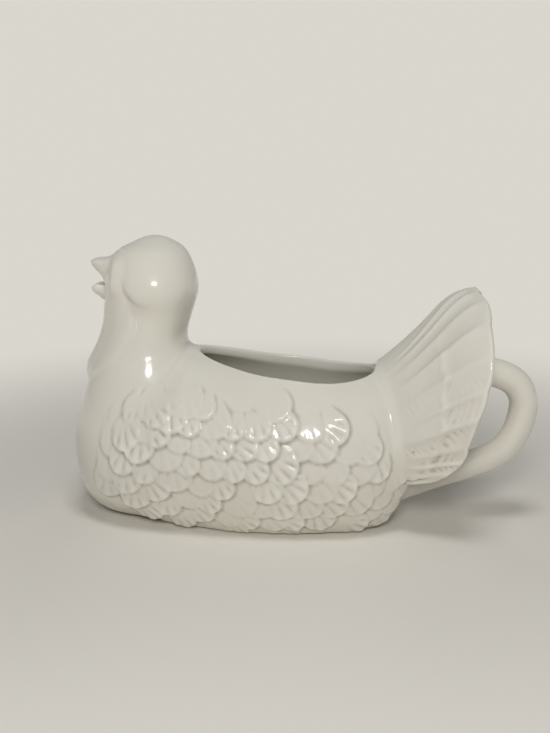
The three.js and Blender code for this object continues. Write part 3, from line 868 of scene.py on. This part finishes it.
CHEEK = (-50.3, 131.1)  # x and z of its middle
CHEEK_RADIUS = 14.5
CREASE_DEPTH = 2.6
CREASE_ANGLE = 0.72  # below level, from the middle of the cheek toward the beak
CREASE_SPREAD = 0.62  # radians to each side of that
CREASE_INSIDE = 1.8  # how far it fades into the cheek, and out of it
CREASE_OUTSIDE = 9.0
CREASE_FREE_BREADTH = 6  # the beak's own breadth to each side has none


def cheek_crease(grid):
    """How far the head is pressed in under the round of each cheek"""
    forward, upward = grid.x - CHEEK[0], grid.z - CHEEK[1]
    off = np.hypot(forward, upward) - CHEEK_RADIUS
    slope = np.where(off < 0, CREASE_INSIDE, CREASE_OUTSIDE)
    angle = np.arctan2(-upward, -forward)
    strength = np.exp(-(((angle - CREASE_ANGLE) / CREASE_SPREAD) ** 2))
    strength = strength * (np.abs(grid.y) > CREASE_FREE_BREADTH)
    return (CREASE_DEPTH * strength * np.exp(-((off / slope) ** 2))).astype(np.float32)


EYE = (-57.2, 21.9, 142.3)  # middle of the ball that presses each eye's dimple
EYE_RADIUS = 1.5
EYE_EDGE = 1.2
NECK_EDGE = 0.8
CROWN_SINK = 0.06  # keeps the glaze under the solid's crown
CROWN_HEIGHTS = (140, 152)
BORE_EDGE = 1.2


def spout_bore(grid):
    return np.hypot(grid.y, grid.z - SPOUT_HEIGHT) - SPOUT_BORE / 2


def head_piece(finish):
    grid = Grid((-82, -27, 93), (-23, 27, 157), 0.5)
    plain = grid.resampled(loft_grid, loft_field) + CROWN_SINK * smoothly(grid.z, *CROWN_HEIGHTS)
    plain = plain.astype(np.float32)
    tuck = seam_tuck(SEAM_HEIGHT - grid.z)
    off = (grid.x - EYE[0]) ** 2 + (np.abs(grid.y) - EYE[1]) ** 2 + (grid.z - EYE[2]) ** 2
    dimple = np.sqrt(off) - EYE_RADIUS
    outer = meet(plain + cheek_crease(grid), -dimple.astype(np.float32), EYE_EDGE)
    head = meet(outer + tuck, -(plain + WALL - tuck), NECK_EDGE)
    bore = np.maximum(spout_bore(grid), grid.x - FACE_X - HEAD_LENGTH / 2)
    head = meet(head, -bore.astype(np.float32), BORE_EDGE)
    head = np.maximum(head, SEAM_HEIGHT - SEAM_LAP - grid.z)
    finished("head", grid, head, "head_shell", "head_glaze", finish, most=90000)


# The wattle's sides lie flatter on the neck and its bib stands further out, between these
# breadths to each side and from these heights down
WATTLE_SLOPE_POWER = 1.3
SIDE_FLATNESS = 0.93
SIDE_BREADTHS = (8, 17)
SIDE_TOP = 131
SIDE_FADE = 12
BIB_RISE = 1.0
BIB_BREADTHS = (4, 12)
BIB_TOP = 100
BIB_FADE = 15
WATTLE_INSET = 0.5
WATTLE_CORNER = 2.0
WATTLE_FILLET = 4.2


def wattle_piece(finish):
    grid = Grid((-94, -27, 73), (-56, 27, 147), 0.45)
    plain = grid.resampled(loft_grid, loft_field)
    line = [(FACE_X - a * WATTLE_SPAN, 0, WATTLE_TOP - d * WATTLE_DROP) for a, d in WATTLE_SHARES]
    outline = spline(line, np.arange(240) / 240, closed=True)[:, [0, 2]]
    flat = outline_distance(grid, outline)
    inward = np.clip(-flat / WATTLE_ROUND, 0, 1)
    power = WATTLE_SLOPE_POWER
    rise = (WATTLE_PROUD - WATTLE_EDGE) * inward**power * (power + 1 - power * inward)
    breadth = np.abs(grid.y)
    level = smoothly(breadth, *SIDE_BREADTHS) * smoothly(SIDE_TOP - grid.z, 0, SIDE_FADE)
    bib = (1 - smoothly(breadth, *BIB_BREADTHS)) * smoothly(BIB_TOP - grid.z, 0, BIB_FADE)
    rise = (WATTLE_EDGE + rise) * (1 - SIDE_FLATNESS * level) + BIB_RISE * bib
    root = plain + cheek_crease(grid)
    form = meet(root - rise.astype(np.float32), flat + WATTLE_INSET, WATTLE_CORNER)
    field = rooted(form, root, WATTLE_FILLET)
    finished("wattle", grid, field, "wattle", "head_glaze", finish, most=60000)


BILL_ROWS = 60
BILL_POINTS_ROUND = 96
CREST_START = 0.6  # share of the crest at the face, and how much it grows toward the tip
CREST_GROWTH = 0.8
BLUNTNESS = 0.35  # a crested bill is this much broader at its tip
BILL_EDGE = 0.7
SCOOP_FLOOR = 1.0  # clay left between the scoop and the head


def bill_piece(name, finish, tip_height, depth, fillet, crest=1.0, trough=0):
    """Half of the beak. Crest above 1 raises and blunts it, and trough is the wall of its scoop"""
    at = np.linspace(0, 1, BILL_ROWS)
    rows = spline([(*row, 0) for row in BILL_SHARES], at)[:, :4]
    angles = np.arange(BILL_POINTS_ROUND) / BILL_POINTS_ROUND * 2 * math.pi
    reach, breadth, down, up = (rows[:, k][:, None] for k in range(4))
    up = up * (1 + (crest - 1) * (CREST_START + CREST_GROWTH * reach))
    blunt = 1 + BLUNTNESS * (crest - 1) * np.maximum(reach, 0) ** 3
    breadth, down = breadth * blunt, down * blunt
    rise = np.sin(angles) * depth * np.where(np.sin(angles) < 0, down, up)
    rings = np.stack(
        [
            np.broadcast_to(FACE_X - reach * BILL_REACH, rise.shape),
            np.cos(angles) * breadth * BILL_BREADTH / 2,
            tip_height + rise,
        ],
        -1,
    )
    tips = [(rings[0, 0, 0], 0, tip_height), (FACE_X - BILL_REACH, 0, tip_height)]
    points, quads, triangles = closed_skin(rings, tips)
    grid = Grid((-89, -12, tip_height - depth - 3), (-64, 12, tip_height + depth / 2 + 2), 0.3)
    form = grid.field(points, quads, triangles, band=8.0)
    plain = grid.resampled(loft_grid, loft_field)
    bore = spout_bore(grid).astype(np.float32)
    bill = meet(rooted(form, plain, fillet), -bore, BILL_EDGE)
    if trough:
        # The lower bill is a scoop: its hollow goes up through its top
        level = int(np.abs(grid.z[0, 0, :] - tip_height).argmin())
        hollow = form.copy()
        hollow[:, :, level:] = form[:, :, level : level + 1]
        bill = meet(bill, -np.maximum(hollow + trough, -plain - SCOOP_FLOOR), BILL_EDGE)
    finished(name, grid, bill, name, "bill_glaze", finish, most=30000)


# Notches between the feathers' tips, shallower beside the ridge
NOTCH_BLUNTNESS = 0.004
NOTCH_POWER = 0.25
NOTCH_FADE = (0.35, 1.5)


def tail_line(shares, round_):
    """The tail's root or free edge, at shares of the way from one lower end to the other"""
    side = [(REAR_X + a * TAIL_REACH, b * TAIL_BREADTH / 2, c * TAIL_HEIGHT) for a, b, c in shares]
    return spline([(x, -y, z) for x, y, z in side[:0:-1]] + side, round_)


def tail_point(out, place):
    """Middle of the sheet: out goes from root to free edge, place counts feathers"""
    side = place - TAIL_FEATHERS / 2
    half = np.interp(np.abs(side), np.arange(len(TAIL_SEAM_SHARES)), TAIL_SEAM_SHARES)
    round_ = (1 + np.sign(side) * half) / 2
    root, edge = tail_line(TAIL_ROOT_SHARES, round_), tail_line(TAIL_EDGE_SHARES, round_)
    lobe = (np.sin(place * math.pi) ** 2 + NOTCH_BLUNTNESS) ** NOTCH_POWER
    lobe = 1 - (1 - lobe) * smoothly(np.abs(side), *NOTCH_FADE)
    reach = out * (1 - TAIL_NOTCH / np.linalg.norm(edge - root, axis=-1) * (1 - lobe))
    late = np.sin(math.pi * reach**TAIL_ARCH_LATENESS)
    arch = TAIL_ARCH * late * np.sin(math.pi * round_) ** TAIL_ARCH_NARROWNESS
    lean = math.radians(TAIL_ARCH_LEAN)
    rise = np.array([-math.sin(lean), 0, math.cos(lean)])
    return root + (edge - root) * reach[..., None] + rise * arch[..., None]


def wander(u, v, seed):
    """A smooth irregular wave between about -1 and 1, always the same for a seed"""
    total = 0
    for k in range(4):
        a, b = math.cos(seed + 2.4 * k), math.sin(seed + 2.4 * k)
        total = total + np.sin((a * u + b * v) * (1 + 0.37 * k) + seed * (k + 1)) * 0.42
    return total


# Modelling on the tail. Places and widths across it count feathers from the ridge, lengths along
# a feather are millimetres, and a pair is where something starts and is full
LOWEST_FEATHER = (4.1, 4.8)  # ridges and strokes are lower on it
FLANK = (0.5, 1.8)  # the ridge itself has no short feathers
RIDGE_DELAY = 0.8  # the upper feathers run alongside the ridge before they spread
RIDGE_DELAY_WIDTH = 1.45
RIDGE_CROWDING = 0.5  # near the ridge the lines lie closer together
RIDGE_CROWDING_WIDTH = 0.33
RIDGE_WIDTH = 0.08
RIDGE_SHARE = 0.72  # of a rib's height
HOLLOW_SHARE = 0.22
ROOT_FADE = (0.0, 0.5)
TIP_FADE = (0.0, 0.12)
TIP_LEAST = 0.15
COVERT_SETBACK = 0.02  # of the reach
COVERT_POINT = 0.05
COVERT_POINT_WIDTH = 0.14
COVERT_WANDER = 0.055
COVERT_STEP = (-2.2, 2.2)
COVERT_START = (0.0, 0.3)
LIP_HEIGHT = 0.3  # thickened ends of the short feathers
LIP_INSET = 1.6
LIP_WIDTH = 1.7
STROKE_DEPTH = 1.1
STROKE_PITCH = 4.3
STROKE_SLANT = 13
STROKE_WANDER = 3.0
STROKE_POWER = 1.5
STROKE_FLANK = (0.9, 3.4)
STROKE_PATCHES = (-0.5, 0.9)
STROKE_BESIDE = (0.03, 0.14)
STROKE_ROOT = (0.04, 0.2)
STROKE_END = (0.6, 3.5)


def tail_relief(out, place, span):
    """Height of the feathers' modelling over the sheet: ridges on seams and quills, short feathers
    laid over the roots of the long ones, and strokes of barbs where they are worn least"""
    side = np.abs(place - TAIL_FEATHERS / 2)
    lowest = smoothly(side, *LOWEST_FEATHER)
    flank = smoothly(side, *FLANK)
    q = side - RIDGE_DELAY * np.exp(-((side / RIDGE_DELAY_WIDTH) ** 2)) * (1 - out)
    crowding = 1 - np.exp(-np.maximum(q, 0) / RIDGE_CROWDING_WIDTH)
    line = np.maximum(q, 0) + RIDGE_CROWDING * crowding
    beside = np.where(q > 0, np.abs(2 * line - np.round(2 * line)) / 2, -q)
    bold = 0.85 + 0.25 * wander(np.round(2 * line) * 2.1, 0, seed=1.3)
    ridge = np.exp(-((beside / RIDGE_WIDTH) ** 2)) * bold
    hollow = (0.5 - 0.5 * np.cos(4 * math.pi * line)) * np.where(q > 0, 1, 0.4)
    worn = TIP_LEAST + (1 - TIP_LEAST) * smoothly(1 - out, *TIP_FADE)
    worn = smoothly(out, *ROOT_FADE) * worn
    rib = TAIL_RIB * worn * (RIDGE_SHARE * ridge - HOLLOW_SHARE * hollow) * (1 - 0.5 * lowest)
    point = COVERT_POINT * np.exp(-((beside / COVERT_POINT_WIDTH) ** 2))
    uneven = COVERT_WANDER * wander(q * 2.3, 0, seed=2.0)
    inside = (TAIL_COVERT_SHARE - COVERT_SETBACK + point + uneven - out) * span
    covert = TAIL_COVERT * smoothly(inside, *COVERT_STEP) * smoothly(out, *COVERT_START) * flank
    lip = LIP_HEIGHT * np.exp(-(((inside - LIP_INSET) / LIP_WIDTH) ** 2)) * flank
    slant = STROKE_SLANT * np.abs(q - np.floor(q) - 0.5)
    bent = out * span - slant + STROKE_WANDER * wander(q * 1.7, out * 5, seed=4.0)
    stroke = (0.5 + 0.5 * np.cos(bent / STROKE_PITCH * 2 * math.pi)) ** STROKE_POWER
    low = smoothly(side, *STROKE_FLANK) * (1 - 0.6 * lowest)
    patch = smoothly(wander(q * 2.6, out * 7, seed=5.0), *STROKE_PATCHES) * low
    away = smoothly(beside, *STROKE_BESIDE) * smoothly(out, *STROKE_ROOT)
    away = away * smoothly(np.abs(inside), *STROKE_END)
    return rib + covert + lip - STROKE_DEPTH * stroke * patch * away


TAIL_POINTS_ACROSS = 40  # for each feather
TAIL_POINTS_ALONG = 120
TAIL_BURIAL = 1.2  # the sheet starts this far under the body's skin
TAIL_FILLET = 6.0


def tail_piece(finish):
    across, along = TAIL_FEATHERS * TAIL_POINTS_ACROSS, TAIL_POINTS_ALONG
    probe = 0.02  # of a feather, to each side of a point for the sheet's slope
    place, out = np.meshgrid(
        np.linspace(0, TAIL_FEATHERS, across + 1), np.linspace(0, 1, along), indexing="ij"
    )
    kept = np.clip(place, probe, TAIL_FEATHERS - probe)
    grid = Grid((62, -52, 22), (130, 52, 132), 0.55)
    plain = grid.resampled(loft_grid, loft_field)
    # The sheet starts just under the body's skin, so that its fillet follows the line it leaves by
    depth = grid.sample(plain, tail_point(out, kept).reshape(-1, 3)).reshape(out.shape)
    start = ((depth < -TAIL_BURIAL).sum(axis=1) / along)[:, None]
    out = start + (1 - start) * out
    middle = tail_point(out, kept)
    aside = tail_point(out, kept + probe) - tail_point(out, kept - probe)
    outward = tail_point(np.ones_like(out), kept) - tail_point(np.zeros_like(out), kept)
    span = np.linalg.norm(outward, axis=-1)
    normal = np.cross(aside, outward)
    normal /= np.linalg.norm(normal, axis=-1, keepdims=True)
    thickness = TAIL_THICKNESS * (1 - TAIL_TAPER_SHARE * out)
    relief = tail_relief(out, kept, span)
    faces = [
        middle + normal * (thickness / 2)[..., None],
        middle - normal * (thickness / 2 + relief)[..., None],
    ]
    count = (across + 1) * along
    points = np.vstack([f.reshape(-1, 3) for f in faces])
    index = np.arange(count).reshape(across + 1, along)
    front = np.stack([index[:-1, :-1], index[1:, :-1], index[1:, 1:], index[:-1, 1:]], -1)
    quads = [front.reshape(-1, 4), front.reshape(-1, 4)[:, ::-1] + count]
    rim = np.concatenate([index[:, 0], index[-1, 1:], index[-2::-1, -1], index[0, -2:0:-1]])
    beside = np.roll(rim, -1)
    quads.append(np.stack([rim, rim + count, beside + count, beside], -1))
    form = grid.field(points, np.vstack(quads), np.zeros((0, 3)), band=9.5)
    tail = mouthed(grid, rooted(form, plain, TAIL_FILLET))
    finished("tail", grid, tail, "tail_fan", "tail_glaze", finish, most=180000)


HANDLE_STEPS = 160
HANDLE_SHRINK = 0.01  # keeps its back inside the solid's
HANDLE_FILLET = 4.5


def handle_piece(finish):
    height = HANDLE_TOP - HANDLE_FOOT
    line = [(REAR_X + a * HANDLE_REACH, 0, HANDLE_FOOT + b * height) for a, b in HANDLE_SHARES]
    path = spline(line, np.linspace(0, 1, HANDLE_STEPS))
    mesh = bpy.data.meshes.new("handle_path")
    mesh.from_pydata([tuple(p) for p in path], [(i, i + 1) for i in range(len(path) - 1)], [])
    points, triangles = arrays_of(grown(mesh, strap(), finish, STRAP_SIZES))
    grid = Grid((64, -14, 4), (158, 14, 98), 0.5)
    form = grid.field(points, np.zeros((0, 4)), triangles, band=8.0) + HANDLE_SHRINK
    field = rooted(form, grid.resampled(loft_grid, loft_field), HANDLE_FILLET)
    finished("handle", grid, field, "handle", "tail_glaze", finish, most=90000)


# Materials


def linear(red, green, blue):
    """A colour of the photograph's scale as the shader takes it"""
    return tuple(
        c / 12.92 if c <= 0.04045 else ((c + 0.055) / 1.055) ** 2.4
        for c in (red / 255, green / 255, blue / 255)
    ) + (1.0,)


GLAZE_SHADE = linear(226, 223, 212)
# Darker tone in creases: partly pooled glaze, partly painted shade
CREASE_POOL_AND_SHADE = linear(136, 127, 104)
# Lighter tone on edges: partly thinner glaze, partly a painted highlight
EDGE_THIN_GLAZE_AND_HIGHLIGHT = linear(243, 241, 232)
SPECK_SHADE = linear(122, 105, 82)
BARE_CLAY_SHADE = linear(206, 196, 176)

# How fast a bend gains the crease's painted shade or the edge's painted highlight, both partly the
# glaze's own tone, and the most that each takes over
CREASE_GAIN = 1.7
CREASE_TINT = 0.65
EDGE_GAIN = 0.9
EDGE_START = 0.15
EDGE_TINT = 0.55
CLOUD_TINT = 0.16
EVEN_TINT = 0.05
SPECK_TINT = 0.55
SPECK_RADIUS = (0.035, 0.07)  # in cells of the speck pattern
SPECK_CHANCE = (0.62, 0.66)
BARE_HEIGHT = (0.0008, 0.0014)  # metres above the table where the glaze starts
BARE_WANDER = 0.0006
BARE_ROUGHNESS = 0.55


def glaze(name, pool_and_shade_start, foot=False):
    """Glossy off-white glaze with a few specks: darker and warmer in creases, partly as thicker
    glaze and partly as painted shade, and lighter on edges, partly as thinner glaze and partly as a
    painted highlight. The second argument is the bend that a crease needs for the darker tone, and
    a foot is left bare"""
    material = bpy.data.materials.new(name)
    net = net_of(material)
    place = net.node("ShaderNodeTexCoord").outputs["Object"]
    bend = net.num("ShaderNodeAttribute", {"attribute_name": "bend"}, output="Fac")
    cloud, ripple, chance = [
        net.num("ShaderNodeTexNoise", inputs={"Vector": place, "Scale": scale, "Detail": detail})
        for scale, detail in ((22.0, 3.0), (160.0, 2.0), (31.0, 0.0))
    ]
    speck = net.num("ShaderNodeTexVoronoi", inputs={"Vector": place, "Scale": 90.0})
    # Painted shade in creases, with glaze pooled there, and a painted highlight on edges, with
    # glaze thinned there
    crease = (bend * -CREASE_GAIN - pool_and_shade_start).within(0.0, 1.0)
    edge = (bend * EDGE_GAIN - EDGE_START).within(0.0, 1.0)
    tone = (crease * CREASE_TINT + (cloud - 0.5) * CLOUD_TINT + EVEN_TINT).within(0.0, 1.0)
    color = net.mixed(tone, GLAZE_SHADE, CREASE_POOL_AND_SHADE)
    # Painted highlight on edges, with glaze thinned there
    color = net.mixed(edge * EDGE_TINT, color, EDGE_THIN_GLAZE_AND_HIGHLIGHT)
    spot = (1.0 - speck.step(*SPECK_RADIUS)) * chance.step(*SPECK_CHANCE)
    color = net.mixed(spot * SPECK_TINT, color, SPECK_SHADE)
    rough = 0.2 + cloud * 0.08 - edge * 0.04
    coat = 0.9 + edge * 0.1
    if foot:
        height = net.num("ShaderNodeSeparateXYZ", inputs={0: place}, output=2)
        bare = 1.0 - (height + ripple * BARE_WANDER).step(*BARE_HEIGHT)
        color = net.mixed(bare, color, BARE_CLAY_SHADE)
        rough = rough + bare * BARE_ROUGHNESS
        coat = coat * (1.0 - bare)
    bump = net.node(
        "ShaderNodeBump",
        inputs={"Strength": 0.12, "Distance": 0.0004, "Height": cloud * 0.5 + ripple * 0.5},
    )
    shader = net.node(
        "ShaderNodeBsdfPrincipled",
        inputs={
            "Base Color": color,
            "Roughness": rough,
            "Coat Weight": coat,
            "Coat Roughness": 0.06,
            "IOR": 1.5,
            "Normal": bump.outputs[0],
        },
    )
    net.node("ShaderNodeOutputMaterial", inputs={"Surface": shader.outputs[0]})
    return material


body_glaze = glaze("body_glaze", 0.12, foot=True)
head_glaze = glaze("head_glaze", 0.35)
tail_glaze = glaze("tail_glaze", 0.3)
bill_glaze = glaze("bill_glaze", 0.35)

body_piece(body_glaze)
head_piece(head_glaze)
wattle_piece(head_glaze)
bill_piece("upper_bill", bill_glaze, UPPER_BILL_TIP, UPPER_BILL_DEPTH, 5.0)
bill_piece("lower_bill", bill_glaze, LOWER_BILL_TIP, LOWER_BILL_DEPTH, 2.0, crest=2.4, trough=1.6)
tail_piece(tail_glaze)
handle_piece(tail_glaze)


# Floor, light and camera


def area_light(name, place, aim, size, energy, color=(1.0, 1.0, 1.0), mirrored=False):
    lamp = bpy.data.lights.new(name, "AREA")
    lamp.shape = "RECTANGLE"
    lamp.size, lamp.size_y = size
    lamp.energy = energy
    lamp.color = color
    holder = placed(name, lamp)
    holder.location = place
    holder.rotation_mode = "QUATERNION"
    holder.rotation_quaternion = (Vector(aim) - Vector(place)).to_track_quat("-Z", "Y")
    holder.visible_glossy = mirrored


PALE = (0.7, 0.675, 0.62, 1.0)
FLOOR_SHADE = (0.85, 0.82, 0.755, 1.0)
BLACK = (0.0, 0.0, 0.0, 1.0)
FLOOR_FADE = (0.13, 0.5)  # metres from its middle
FLOOR_REACH = 9
FLOOR_DROP = 0.0004
DAYLIGHT = (0.97, 0.98, 1.0, 1.0)
DAYLIGHT_STRENGTH = 0.12
MIRRORED_SHARE = 0.6  # of the background, in the glaze


def pale_floor():
    """A plain floor that turns far off into the even pale tone of the background"""
    mesh = bpy.data.meshes.new("floor")
    near, far = -FLOOR_REACH, FLOOR_REACH
    corners = [(near, near, 0), (far, near, 0), (far, far, 0), (near, far, 0)]
    mesh.from_pydata(corners, [], [(0, 1, 2, 3)])
    floor = placed("floor", mesh)
    material = bpy.data.materials.new("floor_paint")
    net = net_of(material)
    place = net.node("ShaderNodeTexCoord").outputs["Object"]
    away = net.num("ShaderNodeVectorMath", {"operation": "LENGTH"}, {0: place}, output=1)
    far = away.step(*FLOOR_FADE)
    shader = net.node(
        "ShaderNodeBsdfPrincipled",
        inputs={
            "Base Color": net.mixed(far, FLOOR_SHADE, BLACK),
            "Roughness": 0.9,
            "Specular IOR Level": 0.0,
            "Emission Color": net.mixed(far, BLACK, PALE),
            "Emission Strength": 1.0,
        },
    )
    net.node("ShaderNodeOutputMaterial", inputs={"Surface": shader.outputs[0]})
    mesh.materials.append(material)
    floor.location = (0, 0, -FLOOR_DROP)


def pale_world():
    world = bpy.data.worlds.new("studio")
    bpy.context.scene.world = world
    net = net_of(world)
    path = net.node("ShaderNodeLightPath")
    mirrored = Num(net, path.outputs["Is Glossy Ray"]) * MIRRORED_SHARE
    seen = Num(net, path.outputs["Is Camera Ray"]).most(mirrored)
    dim, pale = [
        net.node("ShaderNodeBackground", inputs={"Color": color, "Strength": strength}).outputs[0]
        for color, strength in ((DAYLIGHT, DAYLIGHT_STRENGTH), (PALE, 1.0))
    ]
    both = net.node("ShaderNodeMixShader", inputs={0: seen, 1: dim, 2: pale})
    net.node("ShaderNodeOutputWorld", inputs={"Surface": both.outputs[0]})


CAMERA_AZIMUTH = 5.0
CAMERA_ELEVATION = 13.5
CAMERA_DISTANCE = 0.56
CAMERA_TARGET = (13.5, 82.9)  # x and z in millimetres
SENSOR = 36  # millimetres, over the picture's height of so many pixels
PICTURE_HEIGHT = 733
FOCAL_PIXELS = 1038


def photo_camera():
    """Where the photograph was taken from"""
    azimuth, elevation = math.radians(CAMERA_AZIMUTH), math.radians(CAMERA_ELEVATION)
    target = Vector(((CAMERA_TARGET[0] + FOOT_X) * 0.001, 0, CAMERA_TARGET[1] * 0.001))
    level = math.cos(elevation)
    back = Vector((math.sin(azimuth) * level, -math.cos(azimuth) * level, math.sin(elevation)))
    data = bpy.data.cameras.new("camera")
    data.sensor_width = SENSOR
    data.lens = FOCAL_PIXELS / PICTURE_HEIGHT * SENSOR
    data.clip_start, data.clip_end = 0.01, 20
    camera = placed("camera", data)
    camera.location = target + back * CAMERA_DISTANCE
    camera.rotation_mode = "QUATERNION"
    camera.rotation_quaternion = (-back).to_track_quat("-Z", "Y")
    bpy.context.scene.camera = camera


pale_floor()
pale_world()
photo_camera()
# Place and aim in metres, size in metres, power in watts
area_light("window", (0.02, -0.8, 0.55), (0, 0, 0.06), (0.2, 0.2), 2.6, (1.0, 0.98, 0.95))
area_light("sky", (0.05, -0.3, 1.1), (0, 0, 0), (0.3, 0.3), 3.0)
area_light("rear", (0.1, 0.8, 0.7), (0, 0, 0.05), (0.4, 0.4), 0.7)
area_light("lamp", (0.08, -0.9, 0.43), (0, 0, 0.08), (0.19, 0.1), 0.9, mirrored=True)
bpy.context.scene.view_settings.view_transform = "Standard"
